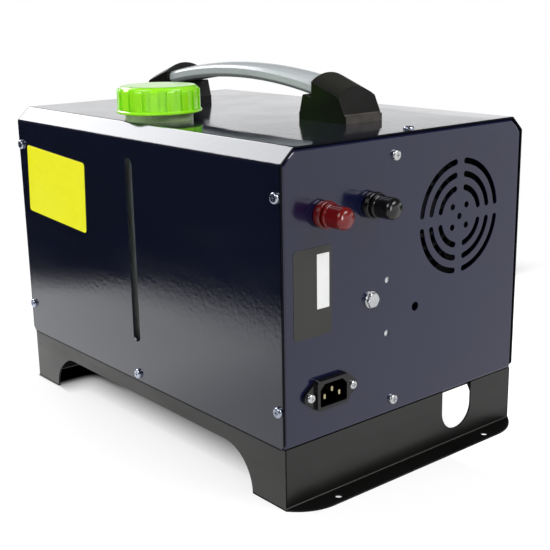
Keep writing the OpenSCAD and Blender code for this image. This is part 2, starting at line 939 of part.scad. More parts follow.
module post_knob(x, tint) {
  flange = 2.5;
  flange_r = post_knob_r + 0.8;
  dome = 2.5;
  dome_r = post_knob_r - 0.1;
  color(tint)
    translate([x, knob_y, post_z])
      rotate([-90, 0, 0])
        difference() {
          union() {
            rotate_extrude()
              polygon([[0, 0], [flange_r - 0.6, 0], [flange_r, 0.6], [flange_r, flange - 0.4],
                [flange_r - 0.4, flange], [0, flange]]);
            translate([0, 0, flange - eps])
              linear_extrude(post_knob_l - flange - dome + eps)
                knob_outline(post_knob_r, 0.35);
            rotate_extrude()
              polygon(concat([[0, post_knob_l - dome - eps], [dome_r, post_knob_l - dome - eps]],
                arc([dome_r - dome, post_knob_l - dome], dome, 0, 80),
                [[0, post_knob_l]]));
          }
          translate([0, 0, -1])
            cylinder(h = post_knob_l - 3, r = post_stud_r + shaft_gap);
        }
}

module post_studs() {
  nut_y = half_l - post_stem_in;
  color([0.8, 0.72, 0.5])
    for (x = [red_off, black_off]) {
      rod_y(x, post_z, post_stud_r, nut_y - post_tail, knob_y + post_knob_l - 5);
      translate([x, nut_y, post_z])
        rotate([90, 0, 0])
          difference() {
            hex(8, 4);
            cylinder(h = 9, r = post_stud_r - 0.2, center = true);
          }
    }
}

// Round line along axis-parallel runs through pts, with bends of radius bend
module line_run(pts, bend, r) {
  n = len(pts);
  for (i = [0:n - 2]) {
    d = (pts[i + 1] - pts[i]) / norm(pts[i + 1] - pts[i]);
    a = pts[i] + d * (i > 0 ? bend : 0);
    b = pts[i + 1] - d * (i < n - 2 ? bend : 0);
    translate(a)
      rotate([0, acos(d[2]), atan2(d[1], d[0])])
        cylinder(h = norm(b - a), r = r);
  }
  for (i = [1:n - 2]) {
    u = (pts[i] - pts[i - 1]) / norm(pts[i] - pts[i - 1]);
    v = (pts[i + 1] - pts[i]) / norm(pts[i + 1] - pts[i]);
    w = cross(u, v);
    c = pts[i] - u * bend + v * bend;
    multmatrix([
      [-v[0], u[0], w[0], c[0]],
      [-v[1], u[1], w[1], c[1]],
      [-v[2], u[2], w[2], c[2]],
      [0, 0, 0, 1]
    ])
      rotate_extrude(angle = 90)
        translate([bend, 0])
          circle(r);
  }
}

// Power supply, screwed to the divider
supply_gap = 6.6;
supply_l = 150;
supply_h = 96;
supply_x0 = bay_x0;
supply_t = tank_x0 - supply_gap - supply_x0;
supply_y1 = panel_in_y - 24;
supply_z0 = base_h + 8;

module at_supply_screws() {
  for (y = [supply_y1 - 12, supply_y1 - supply_l + 12], z = [supply_z0 + 12, supply_z0 + supply_h - 12])
    translate([divider_x, y, z])
      rotate([0, -90, 0])
        children();
}

module power_supply() {
  block_h = 14;
  y0 = supply_y1 - supply_l;
  color([0.72, 0.73, 0.74])
    difference() {
      union() {
        block([supply_x0, y0, supply_z0], [supply_x0 + supply_t, supply_y1, supply_z0 + supply_h]);
        for (k = [0:5])
          block([supply_x0 + 4, supply_y1 - 12 - k * 9, supply_z0 + supply_h - eps],
            [supply_x0 + 4 + block_h, supply_y1 - 5 - k * 9, supply_z0 + supply_h + 6]);
      }
      for (k = [0:9], j = [0:4])
        rod_x(y0 + 12 + k * 14, supply_z0 + 16 + j * 16, 3, supply_x0 + supply_t - 1, supply_x0 + 50);
      at_supply_screws()
        cylinder(h = 12, r = 1.5 + shaft_gap, center = true);
    }
  color(zinc)
    at_supply_screws()
      pan_screw(1.5, 3, 2, 5.5);
}

module power_leads() {
  lead_r = 1.8;
  bend = 6;
  top_z = supply_z0 + supply_h + 6;
  stud_end = half_l - post_stem_in - post_tail;
  turn_y = supply_y1 - 8.5;
  end_x = supply_x0 + 11;
  drop_y = stud_end - 7;
  drop_z = post_z - 20;
  color([0.5, 0.1, 0.1])
    line_run([[red_off, stud_end, post_z], [red_off, turn_y, post_z], [end_x, turn_y, post_z],
      [end_x, turn_y, top_z]], bend, lead_r);
  color([0.1, 0.1, 0.1])
    line_run([[black_off, stud_end, post_z], [black_off, drop_y, post_z],
      [black_off, drop_y, drop_z], [black_off, turn_y - 9, drop_z],
      [end_x, turn_y - 9, drop_z], [end_x, turn_y - 9, top_z]], bend, lead_r);
}

module fuel_tank() {
  color(tank_grey)
    difference() {
      union() {
        tank_block(0);
        translate([cap_x, cap_y, tank_z1 - tank_wall])
          cylinder(h = neck_top - tank_z1 + tank_wall, r = neck_r);
        rod_x(spigot_y, spigot_z, spigot_r, tank_x0 - spigot_l, tank_x0 + 1);
      }
      tank_block(tank_wall);
      translate([cap_x, cap_y, tank_z1 - 2 * tank_wall])
        cylinder(h = far, r = neck_r - neck_wall);
      rod_x(spigot_y, spigot_z, line_bore, tank_x0 - spigot_l - 1, tank_x0 + tank_wall + 1);
    }
}

// Body of the tank with rounded edges, set inwards by off
module tank_block(off) {
  cx = (tank_x0 + tank_x1) / 2;
  cy = (tank_y0 + tank_y1) / 2;
  cz = (tank_z0 + tank_z1) / 2;
  h = tank_z1 - tank_z0 - 2 * off;
  w = tank_w - 2 * off;
  l = tank_l - 2 * off;
  r = tank_edge - off;
  intersection() {
    translate([cx, cy, cz])
      linear_extrude(h, center = true)
        soft_rect(w, l, r);
    translate([cx, 0, cz])
      along_y(cy - l / 2, cy + l / 2)
        soft_rect(w, h, r);
    translate([0, cy, cz])
      along_x(cx - w / 2, cx + w / 2)
        soft_rect(l, h, r);
  }
}

module tank_pad() {
  cx = (tank_x0 + tank_x1) / 2;
  cy = (tank_y0 + tank_y1) / 2;
  color([0.1, 0.1, 0.1])
    translate([cx, cy, base_h])
      linear_extrude(tank_pad_t)
        difference() {
          soft_rect(tank_w - 2 * tank_edge, tank_l - 2 * tank_edge, 6);
          soft_rect(tank_w - 2 * tank_edge - 16, tank_l - 2 * tank_edge - 16, 3);
        }
}

module tank_straps() {
  t = strap_t;
  w = 16;
  gap = 0.2;
  x0 = tank_x0 - gap;
  x1 = tank_x1 + gap;
  top = tank_z1 + gap;
  r = tank_edge + gap;
  outer = rounded([[x0 - t, base_h], [x1 + t, base_h], [x1 + t, top + t], [x0 - t, top + t]],
    [0, 0, r + t, r + t]);
  inner = rounded([[x0, base_h - 1], [x1, base_h - 1], [x1, top], [x0, top]], [0, 0, r, r]);
  color([0.3, 0.3, 0.3])
    difference() {
      for (y = strap_y)
        along_y(y - w / 2, y + w / 2) {
          difference() {
            polygon(outer);
            polygon(inner);
          }
          translate([x0 - t - strap_foot, base_h])
            square([strap_foot + eps, t]);
          translate([x1 + t - eps, base_h])
            square([inner_x - case_gap - base_sheet - x1 - t, t]);
        }
      for (p = deck_bolts_at)
        translate([p[0], p[1], base_h])
          cylinder(h = 10, r = deck_bolt_hole_r, center = true);
    }
}

// Filler cap: a ribbed skirt with a flange below and a bevelled crown
cap_z0 = case_top + cap_lift;
cap_z1 = cap_z0 + cap_h;
cap_bore = neck_r + 0.4;
cap_flange_t = 2.6;
liner_t = 2.6;

module cap_liner() {
  color([0.2, 0.2, 0.2])
    translate([cap_x, cap_y, neck_top + 0.1])
      difference() {
        cylinder(h = liner_t, r = cap_bore - 0.3);
        translate([0, 0, -1])
          cylinder(h = liner_t + 2, r = neck_r - neck_wall - 3);
      }
}

// Half section of the cap, with its outer wall at radius r
function cap_half(r) = concat(
  [[0, cap_z1 - 3], [cap_bore, cap_z1 - 3], [cap_bore, cap_z0], [r, cap_z0]],
  arc([r - 3.4, cap_z1 - 3.4], 3.4, 0, 70),
  [[r - 6, cap_z1], [0, cap_z1]]);

module filler_cap() {
  land = 0.46 * 360 / cap_ribs;
  color(lime)
    translate([cap_x, cap_y, 0]) {
      rotate_extrude()
        polygon(cap_half(cap_r - cap_groove));
      for (i = [0:cap_ribs - 1])
        rotate([0, 0, i * 360 / cap_ribs])
          rotate_extrude(angle = land, $fn = 96)
            polygon(concat(
              [[cap_bore + 1, cap_z0], [cap_r, cap_z0]],
              arc([cap_r - 3, cap_z1 - 4.6], 3, 0, 60),
              [[cap_bore + 1, cap_z1 - 3.2]]));
      rotate_extrude()
        polygon([[cap_bore, cap_z0], [cap_r + 0.6, cap_z0], [cap_r + 1.2, cap_z0 + 0.6],
          [cap_r + 1.2, cap_z0 + cap_flange_t - 0.8], [cap_r, cap_z0 + cap_flange_t],
          [cap_bore, cap_z0 + cap_flange_t]]);
    }
}

// Grip section in X and height, with its upper side edge at height 0; grow widens it
module grip_section(grow = 0) {
  w = grip_w / 2 + grow;
  crown_r = (w * w + grip_crown * grip_crown) / 2 / grip_crown;
  a = asin((w - 2.4) / crown_r);
  low = -grip_h - grow;
  polygon(concat(
    arc([0, grow + grip_crown - crown_r], crown_r, 90 - a, 90 + a, 16),
    [[-w, -1.4], [-w, low + 3], [-w + 3, low], [w - 3, low], [w, low + 3], [w, -1.4]]));
}

// Grip bent to an arc about a line along X, reaching half_angle to each side of its middle
module grip_bar(half_angle, grow = 0) {
  translate([handle_x, handle_y, case_top + grip_rise - grip_arc])
    rotate([0, -90, 0])
      rotate([0, 0, -half_angle])
        rotate_extrude(angle = 2 * half_angle, $fn = 360)
          translate([grip_arc, 0])
            rotate([0, 0, -90])
              grip_section(grow);
}

handle_bolt_r = 3;
handle_bolt_dx = 10;
handle_bolt_in = 22;
mouth = handle_l / 2 - foot_l + 14.2;
grip_in = 12;
grip_half_angle = asin((mouth + grip_in) / grip_arc);

module handle_grip() {
  color(grip_grey)
    grip_bar(grip_half_angle);
}

// Side outline of a foot: distance from the handle's middle, height above the hood
function foot_side() =
  let (o = handle_l / 2, i = o - foot_l)
  rounded([
    [i, 0], [o, 0], [o, foot_plate], [o - 1.4, foot_plate], [o - 15.2, 34],
    [mouth, 44], [mouth, 17.4], [i + 4.4, 20.4], [i + 0.6, foot_plate], [i, foot_plate]
  ], [0, 0, 0, 0, 0, 0, 2, 2, 0, 0]);

module handle_foot(s) {
  arch_r = 33;
  side_z = 28.2;
  slope = 19;
  color([0.15, 0.16, 0.15])
    difference() {
      intersection() {
        translate([handle_x, handle_y, case_top])
          scale([1, s, 1])
            along_x(-foot_w / 2, foot_w / 2)
              polygon(foot_side());
        translate([handle_x, handle_y, case_top])
          scale([1, s, 1])
            translate([0, mouth, side_z - sqrt(pow(arch_r, 2) - pow(foot_w / 2, 2))])
              rotate([-slope, 0, 0]) {
                rotate([90, 0, 0])
                  cylinder(h = 200, r = arch_r, center = true, $fn = 96);
                translate([-foot_w / 2, -100, -100])
                  cube([foot_w, 200, 100 + sqrt(pow(arch_r, 2) - pow(foot_w / 2, 2))]);
              }
      }
      grip_bar(grip_half_angle + 0.05, 0.15);
      at_handle_bolts()
        cylinder(h = 24, r = handle_bolt_r + shaft_gap, center = true);
    }
}

// Puts its children on each handle bolt's axis, at the hood's top
module at_handle_bolts() {
  for (s = [-1, 1], x = [-1, 1])
    translate([handle_x + x * handle_bolt_dx, handle_y + s * (handle_l / 2 - handle_bolt_in), case_top])
      children();
}

module handle_bolts() {
  washer = 1.2;
  nut_h = 4;
  color(zinc)
    at_handle_bolts() {
      translate([0, 0, -sheet - washer])
        cylinder(h = washer, r = 2 * handle_bolt_r);
      translate([0, 0, -sheet - washer])
        cylinder(h = sheet + washer + 10, r = handle_bolt_r);
      translate([0, 0, -sheet - washer - nut_h])
        hex(10, nut_h);
    }
}

// Stand that carries the heater unit over its pipes
module heater_stand() {
  x0 = air_x - stand_w / 2;
  x1 = air_x + stand_w / 2;
  y0 = stand_y - stand_l / 2;
  y1 = stand_y + stand_l / 2;
  color([0.45, 0.46, 0.47])
    difference() {
      union() {
        block([x0 + stand_foot, y0, stand_top - stand_sheet], [x1 - stand_foot, y1, stand_top]);
        for (s = [-1, 1])
          translate([air_x, 0, 0])
            scale([s, 1, 1]) {
              block([stand_w / 2 - stand_foot - stand_sheet, y0, base_h],
                [stand_w / 2 - stand_foot, y1, stand_top]);
              block([stand_w / 2 - stand_foot - stand_sheet, y0, base_h],
                [stand_w / 2, y1, base_h + stand_sheet]);
            }
      }
      for (p = deck_bolts_at)
        translate([p[0], p[1], base_h])
          cylinder(h = 10, r = deck_bolt_hole_r, center = true);
      for (y = [exhaust_y, intake_y])
        translate([air_x, y, stand_top])
          cylinder(h = 10, r = stub_r + 3, center = true);
      translate([fuel_in_x, fuel_in_y, stand_top])
        cylinder(h = 10, r = line_r + 2, center = true);
      at_heater_bolts()
        cylinder(h = 20, r = heater_bolt_r + hole_gap, center = true);
      for (s = [-1, 1])
        rod_x(s * 45 + stand_y, (base_h + stand_top) / 2, 20, air_x - 80, air_x + 80);
    }
}

// Puts its children on each stud under the heater unit, at the top of the stand
module at_heater_bolts() {
  for (x = [-1, 1], y = [exhaust_y - 22, intake_y + 24])
    translate([air_x + x * heater_bolt_dx, y + (x > 0 ? heater_bolt_skew : 0), stand_top])
      children();
}

heater_bolt_r = 3;
heater_bolt_dx = 24;
heater_bolt_skew = 8;
foot_len = 126;
foot_wide = 62;
foot_mid_y = -24;

module heater_gasket() {
  color([0.25, 0.25, 0.25])
    translate([air_x, foot_mid_y, stand_top])
      difference() {
        linear_extrude(gasket_t)
          soft_rect(foot_wide, foot_len, 6);
        for (y = [exhaust_y, intake_y])
          translate([0, y - foot_mid_y, -1])
            cylinder(h = 5, r = stub_r + 0.5);
        translate([fuel_in_x - air_x, fuel_in_y - foot_mid_y, -1])
          cylinder(h = 5, r = line_r + 1);
        translate([-air_x, -foot_mid_y, -stand_top])
          at_heater_bolts()
            cylinder(h = 20, r = heater_bolt_r + hole_gap, center = true);
      }
}

// Casing of the heater unit in section, set inwards by off
module unit_section(off) {
  translate([air_x, air_z])
    soft_rect(unit_w - 2 * off, unit_h - 2 * off, unit_corner - off);
}

module unit_tube(y0, y1) {
  along_y(y0, y1)
    difference() {
      unit_section(0);
      unit_section(unit_wall);
    }
}

module heater_case_lower() {
  color([0.13, 0.13, 0.14])
    difference() {
      intersection() {
        unit_tube(case_y0, case_y1);
        block([-far, -far, -far], [far, far, air_z - 0.1]);
      }
      block([air_x - foot_wide / 2 + 5, foot_mid_y - foot_len / 2 + 5, 0],
        [air_x + foot_wide / 2 - 5, foot_mid_y + foot_len / 2 - 5, air_z - 20]);
    }
}

module heater_case_upper() {
  color([0.13, 0.13, 0.14])
    difference() {
      intersection() {
        unit_tube(case_y0, case_y1);
        block([-far, -far, air_z + 0.1], [far, far, far]);
      }
      translate([air_x, glow_y, air_z])
        cylinder(h = far, r = 8);
    }
}

exchanger_r = 38;
exchanger_wall = 5;
exchanger_back = 88;
exchanger_front = 14;
exchanger_y1 = case_y1 - exchanger_back;
exchanger_y0 = case_y0 + exchanger_front;
burner_r = 26;
burner_l = 95;
glow_back = 16;
glow_y = exchanger_y1 - glow_back;
housing_wall = 6;

module heat_exchanger() {
  fin_t = 1.8;
  color([0.66, 0.67, 0.68])
    difference() {
      union() {
        along_y(exchanger_y0, exchanger_y1)
          intersection() {
            union() {
              translate([air_x, air_z])
                circle(exchanger_r);
              for (i = [0:fin_count - 1])
                translate([air_x, air_z])
                  rotate([0, 0, i * 360 / fin_count])
                    translate([0, -fin_t / 2])
                      square([far / 10, fin_t]);
            }
            unit_section(unit_wall + 1);
          }
        block([air_x - foot_wide / 2 + 6, foot_mid_y - foot_len / 2 + 6, unit_z0 - 0.1],
          [air_x + foot_wide / 2 - 6, foot_mid_y + foot_len / 2 - 6, air_z - exchanger_r + 8]);
        translate([air_x, foot_mid_y, stand_top + gasket_t])
          linear_extrude(foot_t)
            soft_rect(foot_wide, foot_len, 6);
        for (y = [exhaust_y, intake_y])
          translate([air_x, y, stand_top - 20])
            cylinder(h = unit_z0 - stand_top + 21, r = stub_r);
        translate([fuel_in_x, fuel_in_y, stand_top - 8])
          cylinder(h = unit_z0 - stand_top + 8, r = line_r);
      }
      rod_y(air_x, air_z, exchanger_r - exchanger_wall, exchanger_y0 + exchanger_wall, far);
      rod_y(air_x, air_z, exchanger_r + housing_wall + hole_gap, exchanger_y1, far);
      for (y = [exhaust_y, intake_y])
        translate([air_x, y, 0])
          cylinder(h = air_z, r = stub_r - 1.8);
      translate([fuel_in_x, fuel_in_y, 0])
        cylinder(h = unit_z0 + 6, r = line_bore);
      at_heater_bolts()
        cylinder(h = gasket_t + 8, r = heater_bolt_r + shaft_gap);
      translate([air_x, glow_y, air_z])
        cylinder(h = exchanger_r + 2, r = 4.6);
      translate([air_x, glow_y, air_z + exchanger_r + 0.5])
        cylinder(h = far, r = 7);
    }
  color(zinc)
    at_heater_bolts() {
      translate([0, 0, -12])
        cylinder(h = gasket_t + foot_t + 11.5, r = heater_bolt_r);
      translate([0, 0, -stand_sheet - 5])
        hex(10, 5);
    }
}

module burner_tube() {
  wall = 1.5;
  y0 = exchanger_y1 - burner_l;
  flange_y = exchanger_y1;
  color([0.6, 0.58, 0.55])
    difference() {
      union() {
        rod_y(air_x, air_z, burner_r, y0, flange_y);
        rod_y(air_x, air_z, exchanger_r + 2, flange_y, flange_y + 3);
      }
      rod_y(air_x, air_z, burner_r - wall, y0 - 1, flange_y - 2);
      rod_y(air_x, air_z, 9, flange_y - 10, flange_y + 10);
      for (k = [0:7], j = [0:2])
        translate([air_x, y0 + 20 + j * 16, air_z])
          rotate([0, k * 45 + 22.5, 0])
            cylinder(h = far / 10, r = 3);
      translate([air_x, glow_y, air_z])
        cylinder(h = far, r = 4.6);
    }
}

module glow_plug() {
  color([0.75, 0.72, 0.6])
    translate([air_x, glow_y, air_z]) {
      translate([0, 0, burner_r - 8])
        cylinder(h = unit_h / 2 - burner_r + 6, r = 2.4);
      translate([0, 0, burner_r - 1])
        cylinder(h = exchanger_r - burner_r + 2, r = 4.2);
      translate([0, 0, exchanger_r + 1])
        hex(9, 6);
    }
}

shaft_r = 3;
motor_back = 18;
motor_l = 44;
motor_y0 = exchanger_y1 + motor_back;
motor_y1 = motor_y0 + motor_l;

module blower_motor() {
  flange = 4;
  color([0.5, 0.51, 0.52])
    difference() {
      union() {
        rod_y(air_x, air_z, 26, motor_y0, motor_y1);
        rod_y(air_x, air_z, exchanger_r + 10, motor_y0 - flange, motor_y0);
        rod_y(air_x, air_z, 9, motor_y1 - eps, motor_y1 + 3);
        for (a = [45, 135, 225, 315])
          translate([air_x, 0, air_z])
            rotate([0, a, 0])
              block([20, motor_y0, -2], [exchanger_r + 8, motor_y0 + 24, 2]);
      }
      rod_y(air_x, air_z, shaft_r + shaft_gap, motor_y0 - 10, motor_y1 + 10);
      difference() {
        rod_y(air_x, air_z, exchanger_r + 2, motor_y0 - flange - 1, motor_y0 - 2);
        rod_y(air_x, air_z, 8, motor_y0 - 10, motor_y0 + 10);
      }
    }
  color([0.5, 0.51, 0.52])
    difference() {
      rod_y(air_x, air_z, exchanger_r + housing_wall, exchanger_y1 + 3, motor_y0 - flange);
      rod_y(air_x, air_z, exchanger_r + 2.2, exchanger_y1, motor_y0);
    }
}

module control_unit() {
  color([0.1, 0.2, 0.45])
    difference() {
      block([air_x - 27, motor_y0 + 26, air_z + 26.3], [air_x + 27, motor_y1 - 2, air_z + 46]);
      for (k = [0:4])
        block([air_x - 22 + k * 9.5, motor_y1 - 8, air_z + 36],
          [air_x - 16 + k * 9.5, motor_y1, air_z + 43]);
    }
}

// Open end of the heater unit, behind the grille
module heater_intake() {
  t = 2.4;
  rib_l = 100;
  rib_w = 3;
  color([0.13, 0.13, 0.14]) {
    unit_tube(case_y1 + 0.2, unit_y1 - t);
    along_y(unit_y1 - t, unit_y1)
      difference() {
        unit_section(0);
        for (k = [0:3])
          translate([air_x, air_z])
            difference() {
              circle(49 - k * 10);
              circle(42 - k * 10);
            }
      }
    for (a = [0, 60, 120])
      translate([air_x, unit_y1 - t, air_z])
        rotate([0, a, 0])
          translate([-rib_l / 2, -2, -rib_w / 2])
            cube([rib_l, t + 1.6, rib_w]);
  }
}

// Round end of the heater unit that the warm air leaves by
module heater_nozzle() {
  color([0.13, 0.13, 0.14])
    difference() {
      union() {
        along_y(case_y0 - 3, case_y0 - 0.2)
          unit_section(0);
        turned_y(air_x, air_z, [
          [0, case_y0 - 1], [nozzle_r + 10, case_y0 - 1], [nozzle_r, case_y0 - 10],
          [nozzle_r, nozzle_y0], [0, nozzle_y0]]);
      }
      turned_y(air_x, air_z, [
        [0, case_y0 + 1], [nozzle_r + 9, case_y0 + 1], [nozzle_r - 2, case_y0 - 10],
        [nozzle_r - 2, nozzle_y0 - 1], [0, nozzle_y0 - 1]]);
    }
}

module blower_wheel() {
  wheel_y0 = motor_y1 + 6;
  wheel_l = case_y1 + intake_l - 8 - wheel_y0;
  color([0.2, 0.2, 0.2]) {
    rod_y(air_x, air_z, shaft_r, exchanger_y1 + 6, wheel_y0 + wheel_l - 4);
    difference() {
      union() {
        turned_y(air_x, air_z, concat(
          [[0, wheel_y0], [20, wheel_y0], [20, wheel_y0 + wheel_l - 12]],
          [for (k = [0:4]) [20 * cos(k * 20), wheel_y0 + wheel_l - 12 + 8 * sin(k * 20)]],
          [[0, wheel_y0 + wheel_l - 4]]));
        intersection() {
          for (i = [0:blower_blades - 1])
            translate([air_x, wheel_y0 + wheel_l / 2 - 4, air_z])
              rotate([0, i * 360 / blower_blades, 0])
                rotate([38, 0, 0])
                  translate([12, -wheel_l / 2, -1])
                    cube([60, wheel_l, 2]);
          rod_y(air_x, air_z, 47, wheel_y0, wheel_y0 + wheel_l - 6);
        }
      }
      rod_y(air_x, air_z, shaft_r - eps, 0, wheel_y0 + 1);
    }
    difference() {
      union() {
        rod_y(air_x, air_z, 30, exchanger_y1 + 6, exchanger_y1 + 7.6);
        rod_y(air_x, air_z, 6, exchanger_y1 + 6, exchanger_y1 + 13);
        for (i = [0:11])
          translate([air_x, 0, air_z])
            rotate([0, i * 30, 0])
              block([10, exchanger_y1 + 7, -0.8], [30, exchanger_y1 + 12, 0.8]);
      }
      rod_y(air_x, air_z, shaft_r - eps, 0, exchanger_y1 + 6.5);
    }
  }
}

// Pipe from a stub of the heater unit down through the deck, with count ribs and the given bore
module stub_pipe(y, tint) {
  cuff_top = stand_top - stand_sheet - 1;
  cuff_low = cuff_top - 22;
  flex_low = base_h - 6;
  count = 10;
  step = (cuff_low - flex_low) / count;
  outer = concat(
    [[stub_r + 1.6, cuff_top], [stub_r + 1.6, cuff_low]],
    [for (i = [0:count - 1]) each [
      [stub_r - 0.4, cuff_low - (i + 0.15) * step], [stub_r + 1.6, cuff_low - (i + 0.4) * step],
      [stub_r + 1.6, cuff_low - (i + 0.7) * step], [stub_r - 0.4, cuff_low - (i + 0.95) * step]]],
    [[stub_r, flex_low], [stub_r, pipe_low]]);
  inner = [[stub_r - 1.5, pipe_low], [stub_r - 1.5, cuff_low - 1], [stub_r + shaft_gap, cuff_low],
    [stub_r + shaft_gap, cuff_top]];
  color(tint)
    translate([air_x, y, 0])
      rotate_extrude()
        polygon(concat(outer, inner));
}

module fuel_pump() {
  clamp_w = 18;
  end_r = 0.68 * pump_r;
  color([0.7, 0.71, 0.72])
    turned_y(fuel_x, spigot_z, [
      [0, pump_y0 - pump_tip], [spigot_r - 0.6, pump_y0 - pump_tip], [spigot_r - 0.6, pump_y0],
      [end_r, pump_y0], [end_r, pump_y0 + 12], [pump_r, pump_y0 + 14], [pump_r, pump_y1 - 10],
      [end_r, pump_y1 - 8], [end_r, pump_y1], [spigot_r - 0.6, pump_y1],
      [spigot_r - 0.6, pump_y1 + 5], [0, pump_y1 + 5]]);
  color([0.1, 0.1, 0.1])
    difference() {
      union() {
        rod_y(fuel_x, spigot_z, pump_r + 4, pump_clamp_y - clamp_w / 2, pump_clamp_y + clamp_w / 2);
        block([fuel_x - pump_r + 2, pump_clamp_y - clamp_w / 2, base_h],
          [fuel_x + pump_r - 2, pump_clamp_y + clamp_w / 2, spigot_z]);
      }
      rod_y(fuel_x, spigot_z, pump_r - eps, -far, far);
      block([-far, -far, 0], [far, far, base_h]);
    }
}

module fuel_filter() {
  color([0.85, 0.8, 0.6])
    turned_y(fuel_x, spigot_z, [
      [0, filter_y1 - filter_l - 4], [spigot_r - 0.6, filter_y1 - filter_l - 4],
      [spigot_r - 0.6, filter_y1 - filter_l], [filter_r - 2, filter_y1 - filter_l],
      [filter_r, filter_y1 - filter_l + 4], [filter_r, filter_y1 - 4], [filter_r - 2, filter_y1],
      [spigot_r - 0.6, filter_y1], [spigot_r - 0.6, filter_y1 + 4], [0, filter_y1 + 4]]);
}

fuel_turn_y = pump_y0 - pump_tip - line_bend - 2;

module fuel_lines() {
  color([0.15, 0.15, 0.15]) {
    line_run([[tank_x0 - spigot_l, spigot_y, spigot_z], [fuel_x, spigot_y, spigot_z],
      [fuel_x, filter_y1 + 4, spigot_z]], line_bend, line_r);
    line_run([[fuel_x, pump_y0 - pump_tip, spigot_z], [fuel_x, fuel_turn_y, spigot_z],
      [fuel_in_x, fuel_turn_y, spigot_z], [fuel_in_x, fuel_in_y, spigot_z],
      [fuel_in_x, fuel_in_y, stand_top - 8]], line_bend, line_r);
    difference() {
      rod_y(fuel_x, spigot_z, line_r + 1.5, pump_y1 + 0.3, filter_y1 - filter_l - 0.3);
      rod_y(fuel_x, spigot_z, spigot_r - 0.6 + shaft_gap, -half_l, 0);
    }
  }
}

// Warm-air outlet in the front panel; places are counted towards the front
module outlet_sleeve() {
  t = 2;
  grip_len = 8;
  a = nozzle_r + 0.2;
  b = outlet_r + collar_wall + 0.2;
  y_in = nozzle_y0 + grip_len;
  y_out = spigot_in - half_l;
  color([0.16, 0.16, 0.17])
    turned_y(air_x, air_z, [
      [a, y_in], [a, nozzle_y0 + 1], [b, y_out + 2], [b, y_out - grip_len],
      [b + t, y_out - grip_len], [b + t, y_out + 2], [a + t, nozzle_y0 + 1], [a + t, y_in]]);
}

module outlet_collar() {
  color(plastic_black)
    turned_y(air_x, air_z, concat(
      [[outlet_r, spigot_in - half_l], [outlet_r + collar_wall, spigot_in - half_l],
      [outlet_r + collar_wall, -half_l], [outlet_flange_r, -half_l]],
      [[outlet_flange_r, 2 - half_l - flange_t], [outlet_flange_r - 2, -half_l - flange_t],
      [outlet_r, -half_l - flange_t]]));
}

function louvre_z(k) = louvre_step * (k - (louvre_count + 1) / 2);
louvre_swing = louvre_chord / 2 * sin(45) + louvre_t;
function louvre_half(k) = sqrt(pow(ring_r_in - 0.6, 2) - pow(abs(louvre_z(k)) + louvre_swing, 2));
function louvre_tip(k) = sqrt(pow(ring_r_out, 2) - pow(abs(louvre_z(k)) + louvre_pin_r, 2)) - 0.3;

module outlet_ring() {
  back = slide_gap + spigot_in - half_l;
  color(plastic_black)
    difference() {
      turned_y(air_x, air_z, [
        [ring_r_in, back + 1.6], [ring_r_out + 0.8, back + 1.6], [ring_r_out + 1.1, back],
        [ring_r_out, back - 0.2], [ring_r_out, -half_l - flange_t - slide_gap],
        [ring_lip_r, -half_l - flange_t - slide_gap], [ring_lip_r, 1 - ring_front],
        [ring_lip_r - 1, -ring_front], [ring_r_in + 0.8, -ring_front],
        [ring_r_in, 0.8 - ring_front]]);
      for (k = [1:louvre_count])
        rod_x(-louvre_y, air_z + louvre_z(k), louvre_pin_r + shaft_gap, air_x - 60, air_x + 60);
    }
}

module louvre(k) {
  lens_r = (pow(louvre_chord / 2, 2) + pow(louvre_t / 2, 2)) / louvre_t;
  color([0.2, 0.2, 0.21]) {
    along_x(air_x - louvre_half(k), air_x + louvre_half(k))
      translate([-louvre_y, air_z + louvre_z(k)])
        intersection() {
          translate([0, louvre_t / 2 - lens_r])
            circle(lens_r, $fn = 256);
          translate([0, lens_r - louvre_t / 2])
            circle(lens_r, $fn = 256);
        }
    rod_x(-louvre_y, air_z + louvre_z(k), louvre_pin_r, air_x - louvre_tip(k), air_x + louvre_tip(k));
  }
}

button_dz = button_step / 2;

module controller_case() {
  window_w = 50;
  window_h = 32;
  deep = 10;
  color([0.14, 0.14, 0.15])
    difference() {
      union() {
        translate([panel_x, 0, panel_z])
          along_y(-half_l - panel_proud, -half_l)
            soft_rect(panel_w, panel_h, panel_r);
        block([panel_x - panel_w / 2 + 4, -half_l, panel_z - panel_h / 2 + 4],
          [panel_x + panel_w / 2 - 4, deep - half_l, panel_z + panel_h / 2 - 4]);
      }
      translate([screen_x, 0, panel_z])
        along_y(-half_l - panel_proud - 1, -half_l - panel_proud + 2.2)
          soft_rect(window_w, window_h, 3);
      for (s = [-1, 1]) {
        rod_y(button_x, panel_z + s * button_dz, button_d / 2 + slide_gap,
          -half_l - panel_proud - 1, 1 - half_l);
        rod_y(button_x, panel_z + s * button_dz, button_d / 2 + 1.6 + slide_gap,
          -half_l - panel_proud + 2.5, 1 - half_l);
      }
    }
}

screen_x = panel_x - 11;

module controller_screen() {
  color([0.2, 0.3, 0.35])
    translate([screen_x, 0, panel_z])
      along_y(-half_l - panel_proud + 0.6, -half_l - panel_proud + 2.2)
        soft_rect(49.6, 31.6, 2.8);
}

module button(s) {
  color([0.75, 0.76, 0.78])
    turned_y(button_x, panel_z + s * button_dz, concat(
      [[0, -half_l - panel_proud - 1.6], [button_d / 2 - 1, -half_l - panel_proud - 1.6],
      [button_d / 2, -half_l - panel_proud - 0.8], [button_d / 2, -half_l - panel_proud + 2.8],
      [button_d / 2 + 1.4, -half_l - panel_proud + 2.8],
      [button_d / 2 + 1.4, -half_l - panel_proud + 4], [2, -half_l - panel_proud + 4],
      [2, -half_l - 0.2], [0, -half_l - 0.2]]));
}

